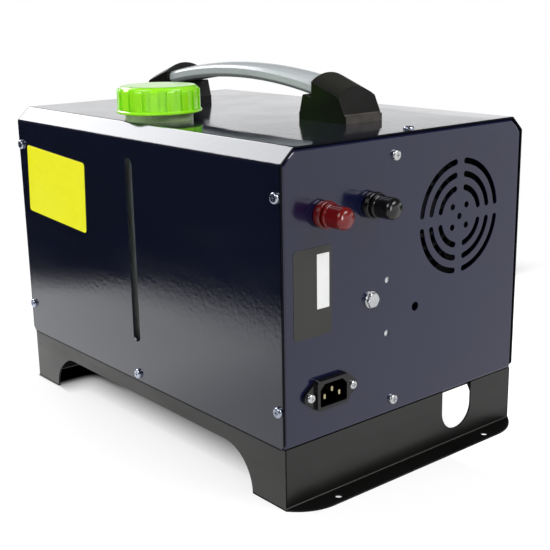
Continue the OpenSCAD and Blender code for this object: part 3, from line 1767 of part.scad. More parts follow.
base_frame();
floor_pan();
deck_bolts();
hood();
hood_screws();
rear_panel();
front_panel();
divider();
panel_screws();
earth_bolt();
earth_nut();
inlet_body();
inlet_contacts();
inlet_screws();
post_collar(red_off, post_red);  // red_post_collar
post_washer(red_off);  // red_post_washer
post_knob(red_off, post_red);  // red_post_knob
post_collar(black_off, plastic_black);  // black_post_collar
post_washer(black_off);  // black_post_washer
post_knob(black_off, plastic_black);  // black_post_knob
post_studs();
power_leads();
power_supply();
fuel_tank();
tank_pad();
tank_straps();
cap_liner();
filler_cap();
handle_grip();
handle_foot(1);  // handle_foot_rear
handle_foot(-1);  // handle_foot_front
handle_bolts();
heater_stand();
heater_gasket();
heater_case_lower();
heater_case_upper();
heat_exchanger();
burner_tube();
glow_plug();
blower_motor();
control_unit();
heater_intake();
heater_nozzle();
blower_wheel();
stub_pipe(exhaust_y, steel_grey);  // exhaust_pipe
stub_pipe(intake_y, plastic_black);  // combustion_air_pipe
fuel_pump();
fuel_filter();
fuel_lines();
outlet_sleeve();
outlet_collar();
outlet_ring();
louvre(1);  // louvre_1
louvre(2);  // louvre_2
louvre(3);  // louvre_3
louvre(4);  // louvre_4
controller_case();
controller_screen();
button(1);  // button_up
button(-1);  // button_down
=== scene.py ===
"""Looks of a portable diesel air heater: finishes for the solids, bare plates, studio and camera."""
import math

import bmesh
import bpy
from mathutils import Matrix, Vector


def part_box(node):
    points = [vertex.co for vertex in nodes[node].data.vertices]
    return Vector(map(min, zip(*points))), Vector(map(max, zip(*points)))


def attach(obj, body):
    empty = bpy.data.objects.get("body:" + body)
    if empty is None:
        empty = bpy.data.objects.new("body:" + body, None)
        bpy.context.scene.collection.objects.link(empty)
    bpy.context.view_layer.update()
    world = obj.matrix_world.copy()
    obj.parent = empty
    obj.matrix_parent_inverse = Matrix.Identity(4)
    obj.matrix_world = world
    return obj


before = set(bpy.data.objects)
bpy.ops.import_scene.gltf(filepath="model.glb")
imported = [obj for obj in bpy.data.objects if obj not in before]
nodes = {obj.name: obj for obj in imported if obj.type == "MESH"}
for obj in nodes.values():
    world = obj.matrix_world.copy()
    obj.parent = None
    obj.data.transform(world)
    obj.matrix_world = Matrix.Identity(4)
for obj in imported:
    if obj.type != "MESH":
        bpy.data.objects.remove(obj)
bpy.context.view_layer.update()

MM = 0.001
X = Vector((1, 0, 0))
Y = Vector((0, 1, 0))
Z = Vector((0, 0, 1))

# The case's outer faces and folds, and the sheets that it is made of
case_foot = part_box("hood")[0].z
case_side, case_end, case_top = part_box("hood")[1]
rear_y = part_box("rear_panel")[1].y
base_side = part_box("base_frame")[1].x
skirt_y = case_end - 0.7 * MM
slope_width = 12 * MM
slope_height = 11 * MM
panel_sheet = 1.2 * MM
base_sheet = 1.5 * MM

# Where the uneven band along each side of the hood's top begins, seen from the middle
band_edge = case_side - 36 * MM


class Graph:
    """One material's node tree around a Principled shader, in object coordinates."""

    def __init__(self, name):
        self.mat = bpy.data.materials.new(name)
        self.mat.use_nodes = True
        self.tree = self.mat.node_tree
        self.tree.nodes.clear()
        self.out = self.tree.nodes.new("ShaderNodeOutputMaterial")
        self.bsdf = self.tree.nodes.new("ShaderNodeBsdfPrincipled")
        self.tree.links.new(self.bsdf.outputs["BSDF"], self.out.inputs["Surface"])
        self.place = self.tree.nodes.new("ShaderNodeTexCoord").outputs["Object"]

    def feed(self, socket, value):
        if isinstance(value, bpy.types.NodeSocket):
            self.tree.links.new(value, socket)
        else:
            socket.default_value = value

    def add(self, kind, inputs, **settings):
        node = self.tree.nodes.new("ShaderNode" + kind)
        for key, value in settings.items():
            setattr(node, key, value)
        for key, value in inputs.items():
            self.feed(node.inputs[key], value)
        return node

    def xyz(self, vector):
        """The parts of a vector, by the letters X, Y and Z."""
        return self.add("SeparateXYZ", {"Vector": vector}).outputs

    def normal(self, kind="Normal"):
        return self.add("NewGeometry", {}).outputs[kind]

    def vector(self, operation, a, b=(0.0, 0.0, 0.0)):
        return self.add("VectorMath", {0: a, 1: b}, operation=operation).outputs["Vector"]

    def tipped(self, normal, lean):
        """The normal, leant over by a vector and brought back to unit length."""
        return self.vector("NORMALIZE", self.vector("ADD", normal, lean))

    def stretched(self, scale):
        return self.add("Mapping", {"Vector": self.place, "Scale": scale}).outputs["Vector"]

    def noise(self, scale, detail=3.0, rough=0.55, place=None):
        inputs = {"Vector": place or self.place, "Scale": scale, "Detail": detail, "Roughness": rough}
        return self.add("TexNoise", inputs).outputs["Fac"]

    def patchy(self, scale, detail=3.0, low=0.0, high=1.0):
        """Noise whose middle range is spread over low..high."""
        return self.span(self.noise(scale, detail), 0.3, 0.7, low, high)

    def specks(self, scale, size):
        """1 inside sparse round specks, 0 elsewhere."""
        cells = self.add("TexVoronoi", {"Vector": self.place, "Scale": scale})
        chance = self.add("SeparateColor", {"Color": cells.outputs["Color"]}).outputs["Red"]
        near = self.span(cells.outputs["Distance"], size, 0.4 * size)
        return self.math("MULTIPLY", near, self.span(chance, 0.8, 0.86))

    def span(self, value, low, high, to_low=0.0, to_high=1.0, soft=False):
        """Maps value from low..high to to_low..to_high, clamped."""
        inputs = {"Value": value, "From Min": low, "From Max": high, "To Min": to_low, "To Max": to_high}
        kind = "SMOOTHSTEP" if soft else "LINEAR"
        return self.add("MapRange", inputs, interpolation_type=kind, clamp=True).outputs["Result"]

    def math(self, operation, a, b=0.0, c=0.0):
        return self.add("Math", {0: a, 1: b, 2: c}, operation=operation).outputs[0]

    def chain(self, operation, *values):
        """Applies one operation along all values, from the first to the last."""
        result = values[0]
        for value in values[1:]:
            result = self.math(operation, result, value)
        return result

    def inverse(self, value):
        return self.math("SUBTRACT", 1.0, value)

    def mix(self, factor, a, b):
        """Mixes two colours, each a tuple of three numbers or a socket."""
        a, b = (c if isinstance(c, bpy.types.NodeSocket) else (*c, 1.0) for c in (a, b))
        return self.add("Mix", {0: factor, 6: a, 7: b}, data_type="RGBA").outputs[2]

    def edges(self, radius):
        """1 along sharp outer and inner edges within radius, 0 on flat faces."""
        bent = self.add("Bevel", {"Radius": radius}, samples=4).outputs["Normal"]
        same = self.add("VectorMath", {0: bent, 1: self.normal()}, operation="DOT_PRODUCT")
        return self.span(self.inverse(same.outputs["Value"]), 0.02, 0.3)

    def bump(self, height, distance, normal=None):
        inputs = {"Height": height, "Distance": distance, "Strength": 1.0}
        if normal:
            inputs["Normal"] = normal
        return self.add("Bump", inputs).outputs["Normal"]

    def blend(self, factor, a, b):
        """Mixes two shader nodes."""
        return self.add("MixShader", {0: factor, 1: a.outputs[0], 2: b.outputs[0]})

    def shade(self, **values):
        """Sets the Principled shader's sockets; underscores stand for spaces."""
        for key, value in values.items():
            socket = self.bsdf.inputs[key.replace("_", " ")]
            if isinstance(value, tuple) and socket.type == "RGBA":
                value = (*value, 1.0)
            self.feed(socket, value)
        return self.mat


def hood_top(g, facing):
    """1 on the hood's flat top, 0 elsewhere."""
    return g.span(facing["Z"], 0.9, 0.95)


def uneven(g, distance):
    """A distance across the hood, made wavy along it."""
    return g.math("ADD", distance, g.patchy(22.0, 3.0, -2 * MM, 2 * MM))


def behind_cap(g, place):
    """Rises from 0 beside the filler cap to 1 behind it."""
    return g.span(place["Y"], 20 * MM, 60 * MM)


def rolled_folds(g):
    """Normal of the hood, rolled over towards the folds of its top and its slopes."""
    flat = g.normal("True Normal")
    facing, place = g.xyz(flat), g.xyz(g.place)
    top = hood_top(g, facing)
    across = uneven(g, g.math("ABSOLUTE", place["X"]))
    first = g.span(across, band_edge - 4 * MM, band_edge, 0.0, 0.028)
    fold = case_side - slope_width
    second = g.span(across, fold - 21 * MM, fold, 0.0, 0.022)
    top_lean = g.chain("MULTIPLY", top, g.math("ADD", first, second), behind_cap(g, place))
    slope = g.math("SUBTRACT", g.span(facing["Z"], 0.4, 0.5), top)
    height = g.math("ADD", place["Z"], g.patchy(700.0, 3.0, -0.7 * MM, 0.7 * MM))
    low_fold = case_top - slope_height
    rolled = g.span(height, low_fold + 2 * MM, low_fold - 1.5 * MM, 0.2, 0.9, True)
    lean = g.math("ADD", top_lean, g.math("MULTIPLY", slope, rolled))
    outward = g.math("MULTIPLY", g.math("SIGN", place["X"]), lean)
    return g.tipped(flat, g.add("CombineXYZ", {"X": outward}).outputs["Vector"])


def with_gap_shade(g, color, gap):
    """Colour and gloss, painted near black and dull where gap is 1: painted shade in a gap."""
    color = g.mix(g.math("MULTIPLY", gap, 0.9), color, (0.001, 0.001, 0.002))
    return color, g.span(gap, 0.0, 1.0, 1.0, 0.12)


def hood_gap_shade(g, color):
    """Colour and gloss of the hood: painted shade in the gaps at its lower and end edges, a dull band on
    its top.
    """
    place = g.xyz(g.place)
    # Painted shade in the gaps along the hood's lower edge and its two end edges
    low = g.span(place["Z"], case_foot + 1.2 * MM, case_foot + 1.0 * MM)
    end = g.span(g.math("ABSOLUTE", place["Y"]), case_end - 1.1 * MM, case_end - 0.9 * MM)
    color, gloss = with_gap_shade(g, color, g.math("MAXIMUM", low, end))
    near_fold = g.span(uneven(g, place["X"]), band_edge - 3.5 * MM, band_edge, 0.0, 0.55)
    top = hood_top(g, g.xyz(g.normal("True Normal")))
    band = g.chain("MULTIPLY", top, behind_cap(g, place), near_fold)
    return color, g.math("MULTIPLY", gloss, g.inverse(band))


def panel_gap_shade(g, color):
    """Colour and gloss of an end panel, with painted shade in the gap at its lower edge."""
    height = g.xyz(g.place)["Z"]
    return with_gap_shade(g, color, g.span(height, case_foot + 1.1 * MM, case_foot + 0.9 * MM))


def base_painted_light_and_shade(g, color):
    """Colour and gloss of the base: painted light on its long sides, painted shade inside and along the
    floor.
    """
    place, facing = g.xyz(g.place), g.xyz(g.normal())
    along, across = g.math("ABSOLUTE", place["Y"]), g.math("ABSOLUTE", place["X"])
    side = g.span(g.math("ABSOLUTE", facing["X"]), 0.5, 0.9)
    skirt = g.span(g.math("ABSOLUTE", facing["Y"]), 0.5, 0.9)
    # Painted light: the long sides grow paler towards the front end
    pale = g.span(place["Y"], -50 * MM, -180 * MM, 0.25, 1.0)
    color = g.mix(g.math("MULTIPLY", side, pale), color, (0.052, 0.053, 0.050))
    inner_side = base_side - base_sheet + 0.2 * MM
    inner_skirt = skirt_y - 0.5 * MM
    within = g.math("MAXIMUM", g.math("SUBTRACT", across, inner_side),
                    g.math("SUBTRACT", along, inner_skirt))
    inside = g.span(within, 0.1 * MM, -0.1 * MM)
    bend_low, bend_high = base_sheet + 0.1 * MM, base_sheet + 0.15 * MM
    flange = g.span(place["Z"], bend_high, bend_low, 0.0, 0.75)
    near_floor = g.span(place["Z"], 15 * MM, 3 * MM, 0.0, 0.55, True)
    joint = g.math("MULTIPLY", skirt, g.span(across, inner_side, inner_side + 0.2 * MM, 0.0, 0.8))
    # Painted shade: dark and dull on the flange, low on the end skirts, along the joint of skirt and
    # side, and inside the base
    dim = g.chain("MAXIMUM", flange, g.math("MULTIPLY", skirt, near_floor), joint,
                  g.math("MULTIPLY", inside, 0.9))
    # Painted highlight: a pale line along the fold just above the flange
    above = g.span(place["Z"], base_sheet + 0.9 * MM, base_sheet + 0.6 * MM, 0.0, 0.55)
    painted_bend_highlight = g.chain("MULTIPLY", g.span(place["Z"], bend_low, bend_high), above, g.inverse(inside))
    color = g.mix(painted_bend_highlight, g.mix(dim, color, (0.001, 0.001, 0.001)), (0.07, 0.07, 0.066))
    return color, g.inverse(dim)


def coated(name, dark, light, worn, rough, coat, peel, painted_shading, tint=(1.0, 1.0, 1.0), folds=None):
    """Powder coat: cloudy colour, orange peel, dust specks, rubbed edges, and the painted light and
    shade of the given function.
    """
    g = Graph(name)
    under = folds(g) if folds else None
    rub = g.math("MULTIPLY", g.edges(0.7 * MM), g.span(g.noise(160.0, 5.0), 0.45, 0.7))
    dust = g.specks(420.0, 0.12)
    color = g.mix(g.patchy(9.0, 4.0), dark, light)
    color = g.mix(g.math("MULTIPLY", dust, 0.3), color, (0.12, 0.12, 0.14))
    color = g.mix(g.math("MULTIPLY", rub, 0.6), color, worn)
    # Painted light and shade, and a duller gloss where the given function asks for it
    color, gloss = painted_shading(g, color)
    smear = g.noise(1.0, 3.0, 0.6, g.stretched((14.0, 14.0, 55.0)))
    roughness = g.span(smear, 0.35, 0.75, rough[0], rough[1])
    roughness = g.math("ADD", roughness, g.math("MULTIPLY", dust, 0.1))
    if folds:
        roughness = g.math("MULTIPLY", roughness, gloss)
    skin = g.bump(g.noise(300.0, 2.0, 0.4), peel, under)
    skin = g.bump(g.noise(1400.0, 2.0), peel * 0.12, skin)
    return g.shade(Base_Color=color, Roughness=roughness, Normal=skin, Coat_Normal=skin,
                   Coat_Weight=g.math("MULTIPLY", gloss, coat[0]), Coat_Roughness=coat[1],
                   Coat_Tint=tint, Specular_IOR_Level=g.math("MULTIPLY", gloss, 0.5))


def plated(name, tint, shadow, rough, grain=0.02 * MM, streaks=(1.0, 1.0, 1.0)):
    """Bare or plated metal: uneven tint, fine grain of the given depth, scuffed edges."""
    g = Graph(name)
    color = g.mix(g.patchy(120.0, 4.0), shadow, tint)
    bright = tuple(min(1.0, 1.25 * c) for c in tint)
    color = g.mix(g.math("MULTIPLY", g.edges(0.25 * MM), 0.7), color, bright)
    fine = g.noise(900.0, 3.0, 0.6, g.stretched(streaks))
    roughness = g.span(fine, 0.3, 0.7, rough[0], rough[1])
    return g.shade(Base_Color=color, Metallic=1.0, Roughness=roughness, Normal=g.bump(fine, grain))


def domed_end(knob):
    """Function for the normal of a knob along Y whose end face bulges."""
    low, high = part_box(knob)
    axis = (low + high) / 2
    bulge_radius = 11 * MM

    def bulge(g):
        flat = g.normal()
        arm = g.vector("SUBTRACT", g.place, (axis.x, 0.0, axis.z))
        arm = g.vector("MULTIPLY", arm, (1.0, 0.0, 1.0))
        amount = g.span(g.xyz(flat)["Y"], 0.6, 0.8, 0.0, 1 / bulge_radius)
        lean = g.add("VectorMath", {0: arm, "Scale": amount}, operation="SCALE").outputs["Vector"]
        turned = g.add("VectorTransform", {"Vector": lean}, vector_type="VECTOR",
                       convert_from="OBJECT", convert_to="WORLD")
        return g.tipped(flat, turned.outputs["Vector"])
    return bulge


def foot_painted_sheen(g, color):
    """Colour of a handle foot: a painted sheen as a paler band low on its end face, and painted light on
    its paler top.
    """
    place, facing = g.xyz(g.place), g.xyz(g.normal())
    band_top = case_top + 7 * MM
    outward = g.span(g.math("MULTIPLY", facing["Y"], place["Y"]), 0.0, 0.02)
    upright = g.span(g.math("ABSOLUTE", facing["Y"]), 0.6, 0.8)
    band = g.span(place["Z"], band_top + 0.3 * MM, band_top)
    sheen = g.chain("MULTIPLY", outward, upright, band, g.patchy(60.0, 2.0, 0.5, 1.0))
    color = g.mix(sheen, color, (0.085, 0.076, 0.068))
    # Painted light: faces that look upwards are paler
    return g.mix(g.span(facing["Z"], 0.7, 0.95), color, (0.024, 0.024, 0.02))


def moulded(name, base, faded, rough, texture, coat=0.0, soften=0.0, edge=(0.35, 1.8), gloss=0.5,
            shape=None, painted_shading=None):
    """Moulded plastic or rubber: faint mottling, moulded grain, and edges with slight polish and a
    painted highlight.
    """
    g = Graph(name)
    under = shape(g) if shape else None
    color = g.mix(g.math("MULTIPLY", g.patchy(55.0, 4.0), 0.6), base, faded)
    # Painted highlight with slight polish: edges lighten towards the base colour times edge[1], edge[0]
    # of the way
    edge_highlight = tuple(min(1.0, c * edge[1] + 0.004) for c in base)
    polish_and_highlight = g.edges(0.4 * MM)
    color = g.mix(g.math("MULTIPLY", polish_and_highlight, edge[0]), color, edge_highlight)
    dust = g.specks(500.0, 0.1)
    color = g.mix(g.math("MULTIPLY", dust, 0.15), color, (0.3, 0.3, 0.3))
    if painted_shading:
        color = painted_shading(g, color)
    roughness = g.patchy(30.0, 4.0, rough[0], rough[1])
    roughness = g.math("SUBTRACT", roughness, g.math("MULTIPLY", polish_and_highlight, 0.12))
    skin = g.bump(g.noise(1100.0, 3.0, 0.6), texture, under)
    values = {"Base_Color": color, "Roughness": roughness, "Normal": skin, "Coat_Weight": coat,
              "Coat_Roughness": 0.08, "Coat_Normal": skin, "Specular_IOR_Level": gloss}
    if soften:
        values.update(Subsurface_Weight=soften, Subsurface_Radius=(0.004, 0.006, 0.003),
                      Subsurface_Scale=0.5)
    return g.shade(**values)


def translucent_tank():
    """Milky polyethylene, greener at the neck under the cap."""
    g = Graph("tank_polyethylene")
    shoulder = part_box("fuel_tank")[1].z - 42 * MM
    color = g.mix(g.patchy(40.0, 4.0), (0.34, 0.38, 0.36), (0.40, 0.44, 0.42))
    height = g.xyz(g.place)["Z"]
    color = g.mix(g.span(height, shoulder, shoulder + 10 * MM), color, (0.37, 0.52, 0.26))
    skin = g.bump(g.noise(600.0, 3.0), 0.03 * MM)
    return g.shade(Base_Color=color, Roughness=0.38, Normal=skin, Subsurface_Weight=0.6,
                   Subsurface_Radius=(0.006, 0.008, 0.006), Subsurface_Scale=0.6, Coat_Weight=0.2)


def printed(name, base, rough=0.4, coat=0.25):
    """Vinyl label: flat colour with faint print mottle and light scuffs."""
    g = Graph(name)
    darker = tuple(0.97 * c for c in base)
    color = g.mix(g.span(g.noise(300.0, 4.0), 0.35, 0.65), darker, base)
    scuff = g.span(g.noise(1.0, 5.0, 0.7, g.stretched((60.0, 60.0, 400.0))), 0.62, 0.72)
    color = g.mix(g.math("MULTIPLY", scuff, 0.03), color, (0.4, 0.4, 0.4))
    roughness = g.patchy(25.0, 3.0, rough, rough + 0.12)
    skin = g.bump(g.noise(90.0, 2.0), 0.05 * MM)
    return g.shade(Base_Color=color, Roughness=roughness, Normal=skin, Coat_Weight=coat,
                   Coat_Roughness=0.15)


paint = coated("navy_powder_coat", dark=(0.0030, 0.0045, 0.0135), light=(0.0044, 0.0062, 0.018),
               worn=(0.07, 0.08, 0.12), rough=(0.12, 0.22), coat=(0.9, 0.06), peel=0.06 * MM,
               tint=(0.95, 0.96, 1.0), folds=rolled_folds, painted_shading=hood_gap_shade)
panel_paint = coated("navy_panel_coat", dark=(0.0034, 0.0042, 0.021), light=(0.0048, 0.0062, 0.029),
                     worn=(0.07, 0.08, 0.12), rough=(0.16, 0.28), coat=(0.9, 0.11),
                     peel=0.012 * MM, tint=(0.80, 0.81, 1.0), painted_shading=panel_gap_shade)
base_paint = coated("black_powder_coat", dark=(0.010, 0.0098, 0.009), light=(0.014, 0.0137, 0.0125),
                    worn=(0.10, 0.10, 0.095), rough=(0.34, 0.5), coat=(0.15, 0.25),
                    peel=0.03 * MM, painted_shading=base_painted_light_and_shade)
zinc = plated("zinc_plate", tint=(0.66, 0.71, 0.83), shadow=(0.42, 0.47, 0.62), rough=(0.16, 0.34))
bright_zinc = plated("bright_zinc_plate", tint=(0.86, 0.87, 0.88), shadow=(0.68, 0.70, 0.72),
                     rough=(0.2, 0.36))
galvanised = plated("galvanised_steel", tint=(0.58, 0.60, 0.62), shadow=(0.38, 0.40, 0.42),
                    rough=(0.3, 0.5))
cast = plated("cast_aluminium", tint=(0.60, 0.61, 0.62), shadow=(0.42, 0.43, 0.44),
              rough=(0.45, 0.65), grain=0.06 * MM)
stainless = plated("stainless_steel", tint=(0.58, 0.55, 0.50), shadow=(0.36, 0.33, 0.30),
                   rough=(0.22, 0.4), streaks=(1.0, 1.0, 14.0))
contact = plated("nickelled_brass", tint=(0.80, 0.72, 0.48), shadow=(0.58, 0.48, 0.28),
                 rough=(0.18, 0.32))
red = moulded("red_plastic", base=(0.10, 0.002, 0.002), faded=(0.14, 0.004, 0.004),
              rough=(0.16, 0.26), texture=0.01 * MM, coat=0.4)
red_knob = moulded("red_knob_plastic", base=(0.10, 0.002, 0.002), faded=(0.13, 0.004, 0.004),
                   rough=(0.16, 0.26), texture=0.01 * MM, coat=0.4, edge=(0.5, 2.2),
                   shape=domed_end("red_post_knob"))
black_knob = moulded("black_knob_plastic", base=(0.003, 0.003, 0.003), faded=(0.005, 0.005, 0.005),
                     rough=(0.16, 0.26), texture=0.01 * MM, coat=0.4,
                     shape=domed_end("black_post_knob"))
gloss_black = moulded("gloss_black_plastic", base=(0.002, 0.002, 0.002), faded=(0.004, 0.004, 0.004),
                      rough=(0.16, 0.28), texture=0.012 * MM, coat=0.3)
black = moulded("black_plastic", base=(0.014, 0.014, 0.014), faded=(0.02, 0.02, 0.02),
                rough=(0.38, 0.52), texture=0.03 * MM)
# Its strong edge highlight paints the light crease line where the foot's faces meet
foot = moulded("foot_plastic", base=(0.003, 0.003, 0.0025), faded=(0.0045, 0.0045, 0.0038),
               rough=(0.26, 0.38), texture=0.02 * MM, edge=(0.7, 36.0), gloss=0.3,
               painted_shading=foot_painted_sheen)
grip = moulded("grip_plastic", base=(0.47, 0.51, 0.525), faded=(0.51, 0.55, 0.565),
               rough=(0.26, 0.36), texture=0.012 * MM, coat=0.35, edge=(0.25, 1.3))
# Its edge highlight paints light along the edges of the cap's ribs
lime = moulded("lime_plastic", base=(0.30, 0.81, 0.007), faded=(0.35, 0.86, 0.012),
               rough=(0.22, 0.34), texture=0.012 * MM, coat=0.9, soften=0.35, edge=(0.5, 1.4))
rubber = moulded("rubber", base=(0.016, 0.016, 0.016), faded=(0.024, 0.024, 0.024),
                 rough=(0.5, 0.68), texture=0.04 * MM)
red_lead = moulded("red_lead", base=(0.30, 0.01, 0.01), faded=(0.34, 0.02, 0.02),
                   rough=(0.35, 0.45), texture=0.02 * MM)
blue_board = moulded("control_housing", base=(0.02, 0.06, 0.2), faded=(0.03, 0.07, 0.22),
                     rough=(0.35, 0.5), texture=0.03 * MM)
filter_body = moulded("filter_plastic", base=(0.62, 0.56, 0.36), faded=(0.68, 0.62, 0.42),
                      rough=(0.15, 0.25), texture=0.01 * MM, coat=0.3, soften=0.4)
window = moulded("display_window", base=(0.006, 0.009, 0.010), faded=(0.008, 0.011, 0.013),
                 rough=(0.04, 0.09), texture=0.002 * MM, coat=0.8)
button_grey = moulded("button_plastic", base=(0.42, 0.44, 0.47), faded=(0.47, 0.49, 0.52),
                      rough=(0.36, 0.48), texture=0.02 * MM)
tank = translucent_tank()

FINISHES = {
    paint: ["hood"],
    panel_paint: ["rear_panel", "front_panel"],
    base_paint: ["base_frame", "floor_pan", "divider"],
    zinc: ["hood_screws", "deck_bolts", "handle_bolts", "glow_plug", "earth_nut"],
    bright_zinc: ["earth_bolt", "inlet_screws", "panel_screws"],
    galvanised: ["power_supply", "tank_straps", "heater_stand", "fuel_pump"],
    cast: ["heat_exchanger", "blower_motor"],
    stainless: ["burner_tube", "exhaust_pipe"],
    contact: ["inlet_contacts", "red_post_washer", "black_post_washer", "post_studs"],
    red: ["red_post_collar"],
    red_knob: ["red_post_knob"],
    black_knob: ["black_post_knob"],
    gloss_black: ["black_post_collar", "inlet_body"],
    black: ["heater_case_lower", "heater_case_upper", "heater_intake", "heater_nozzle",
            "blower_wheel", "combustion_air_pipe", "outlet_collar", "outlet_ring", "louvre_1",
            "louvre_2", "louvre_3", "louvre_4", "controller_case"],
    foot: ["handle_foot_rear", "handle_foot_front"],
    grip: ["handle_grip"],
    lime: ["filler_cap"],
    rubber: ["tank_pad", "cap_liner", "heater_gasket", "fuel_lines", "outlet_sleeve"],
    red_lead: ["power_leads"],
    blue_board: ["control_unit"],
    filter_body: ["fuel_filter"],
    window: ["controller_screen"],
    button_grey: ["button_up", "button_down"],
    tank: ["fuel_tank"],
}

EDGE_RADII = {
    0.35 * MM: ["rear_panel", "front_panel", "base_frame"],
    0.7 * MM: ["filler_cap"],
    0.5 * MM: ["handle_foot_rear", "handle_foot_front", "handle_grip", "outlet_collar",
               "outlet_ring", "controller_case"],
    0.3 * MM: ["inlet_body", "red_post_collar", "black_post_collar", "button_up", "button_down",
               "earth_bolt"],
    0.15 * MM: ["hood_screws", "panel_screws", "inlet_screws", "inlet_contacts", "red_post_knob",
                "black_post_knob"],
}


def soften_edges(piece, radius):
    """Joins the faces that meet, and rounds the sharp edges by radius."""
    weld = piece.modifiers.new("weld", "WELD")
    weld.merge_threshold = 0.002 * MM
    merge = piece.modifiers.new("merge", "DECIMATE")
    merge.decimate_type = "DISSOLVE"
    merge.angle_limit = math.radians(0.4)
    bevel = piece.modifiers.new("bevel", "BEVEL")
    bevel.width = radius
    bevel.segments = 2
    bevel.limit_method = "ANGLE"
    bevel.angle_limit = math.radians(32)
    bevel.use_clamp_overlap = True
    bevel.miter_outer = "MITER_ARC"
    flatten = piece.modifiers.new("flatten", "WEIGHTED_NORMAL")
    flatten.weight = 100
    flatten.mode = "FACE_AREA"


for material, names in FINISHES.items():
    for name in names:
        nodes[name].data.materials.clear()
        nodes[name].data.materials.append(material)

for radius, names in EDGE_RADII.items():
    for name in names:
        soften_edges(nodes[name], radius)


def rounded_outline(width, height, radius, steps=8):
    """Corner points of a rectangle with round corners, counter-clockwise, centred."""
    points = []
    for quarter, (sx, sy) in enumerate([(1, 1), (-1, 1), (-1, -1), (1, -1)]):
        for i in range(steps + 1):
            a = math.radians(90 * (quarter + i / steps))
            x = sx * (width / 2 - radius) + radius * math.cos(a)
            y = sy * (height / 2 - radius) + radius * math.sin(a)
            points.append((x, y))
    return points


def plate(name, centre, right, up, size, corner, thickness, material, body):
    """A thin sheet with round corners and a soft upper edge, lying on a face."""
    out = right.cross(up)
    rim = min(0.35 * thickness, 0.1 * MM)
    levels = [(0.0, 0.0), (0.0, thickness - rim), (rim, thickness)]
    mesh = bmesh.new()
    rings = []
    for inset, lift in levels:
        outline = rounded_outline(size[0] - 2 * inset, size[1] - 2 * inset, corner - inset)
        rings.append([mesh.verts.new(centre + x * right + y * up + lift * out) for x, y in outline])
    for low, high in zip(rings, rings[1:]):
        for i in range(len(low)):
            j = (i + 1) % len(low)
            mesh.faces.new((low[i], low[j], high[j], high[i]))
    mesh.faces.new(rings[-1])
    mesh.faces.new(reversed(rings[0]))
    data = bpy.data.meshes.new(name)
    mesh.to_mesh(data)
    mesh.free()
    piece = bpy.data.objects.new(name, data)
    bpy.context.scene.collection.objects.link(piece)
    data.materials.append(material)
    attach(piece, body)


yellow_vinyl = printed("yellow_vinyl", (0.88, 0.87, 0.0015), rough=0.3, coat=0.08)
dark_vinyl = printed("dark_vinyl", (0.026, 0.026, 0.024))
white_vinyl = printed("white_vinyl", (0.78, 0.79, 0.78))
nylon = printed("nylon_spacer", (0.72, 0.73, 0.75))

# Bare sticker on the near side, turned a little clockwise, with its back just inside the sheet
label_sink = 0.02 * MM
sticker_tilt = math.radians(3.3)
sticker_right = math.cos(sticker_tilt) * Y - math.sin(sticker_tilt) * Z
sticker_up = math.sin(sticker_tilt) * Y + math.cos(sticker_tilt) * Z
sticker_centre = Vector((case_side - label_sink, -119.7 * MM, case_top - 64.6 * MM))
plate("side_sticker", sticker_centre, sticker_right, sticker_up, (100 * MM, 60 * MM),
      corner=3 * MM, thickness=0.2 * MM, material=yellow_vinyl, body="case")

# Bare rating plate at the rear, and the light column on it, which lies 0.01 mm deep in the plate
rating_thickness = 0.3 * MM
rating_centre = Vector((case_side - 27.5 * MM, rear_y - label_sink, case_foot + 109 * MM))
column_lift = rating_thickness - 0.01 * MM
column_centre = rating_centre + Vector((-9.35 * MM, column_lift, 6.9 * MM))
plate("rating_plate", rating_centre, -X, Z, (35 * MM, 63 * MM),
      corner=3 * MM, thickness=rating_thickness, material=dark_vinyl, body="case")
plate("rating_plate_column", column_centre, -X, Z, (11.3 * MM, 38.8 * MM),
      corner=0.4 * MM, thickness=0.06 * MM, material=white_vinyl, body="case")

# Light spacers behind two small holes of the rear panel
spacer_x = 25 * MM
spacer_y = rear_y - panel_sheet - 0.7 * MM
spacer_heights = (case_foot + 104.3 * MM, case_foot + 64 * MM)
for i, height in enumerate(spacer_heights, 1):
    plate(f"hole_backing_{i}", Vector((spacer_x, spacer_y, height)), -X, Z, (6 * MM, 6 * MM),
          corner=2.9 * MM, thickness=0.4 * MM, material=nylon, body="case")


def photo_camera():
    """Camera at the photograph's place, solved from the straight edges of the case."""
    place = Vector((0.547825, 0.685773, 0.351790))
    yaw, pitch, roll = -2.2636, -0.2659, -0.0169
    ahead = Vector((math.cos(pitch) * math.cos(yaw), math.cos(pitch) * math.sin(yaw),
                    math.sin(pitch)))
    right = Vector((math.sin(yaw), -math.cos(yaw), 0.0))
    up = right.cross(ahead)
    across = math.cos(roll) * right + math.sin(roll) * up
    upward = -math.sin(roll) * right + math.cos(roll) * up
    data = bpy.data.cameras.new("camera")
    data.lens = 67.81
    data.clip_start = 0.01
    data.clip_end = 50.0
    camera = bpy.data.objects.new("camera", data)
    turn = Matrix((across, upward, -ahead)).transposed().to_4x4()
    camera.matrix_world = Matrix.Translation(place) @ turn
    bpy.context.scene.collection.objects.link(camera)
    bpy.context.scene.camera = camera


def softbox(name, place, target, size, watts, only=()):
    """Rectangular studio lamp aimed at target, that lights only the named nodes if any are."""
    data = bpy.data.lights.new(name, "AREA")
    data.shape = "RECTANGLE"
    data.size, data.size_y = size
    data.energy = watts
    lamp = bpy.data.objects.new(name, data)
    lamp.location = place
    aim = Vector(target) - Vector(place)
    lamp.rotation_euler = aim.to_track_quat("-Z", "Y").to_euler()
    bpy.context.scene.collection.objects.link(lamp)
    if only:
        lit = bpy.data.collections.new(name)
        for piece in only:
            lit.objects.link(nodes[piece])
        lamp.light_linking.receiver_collection = lit


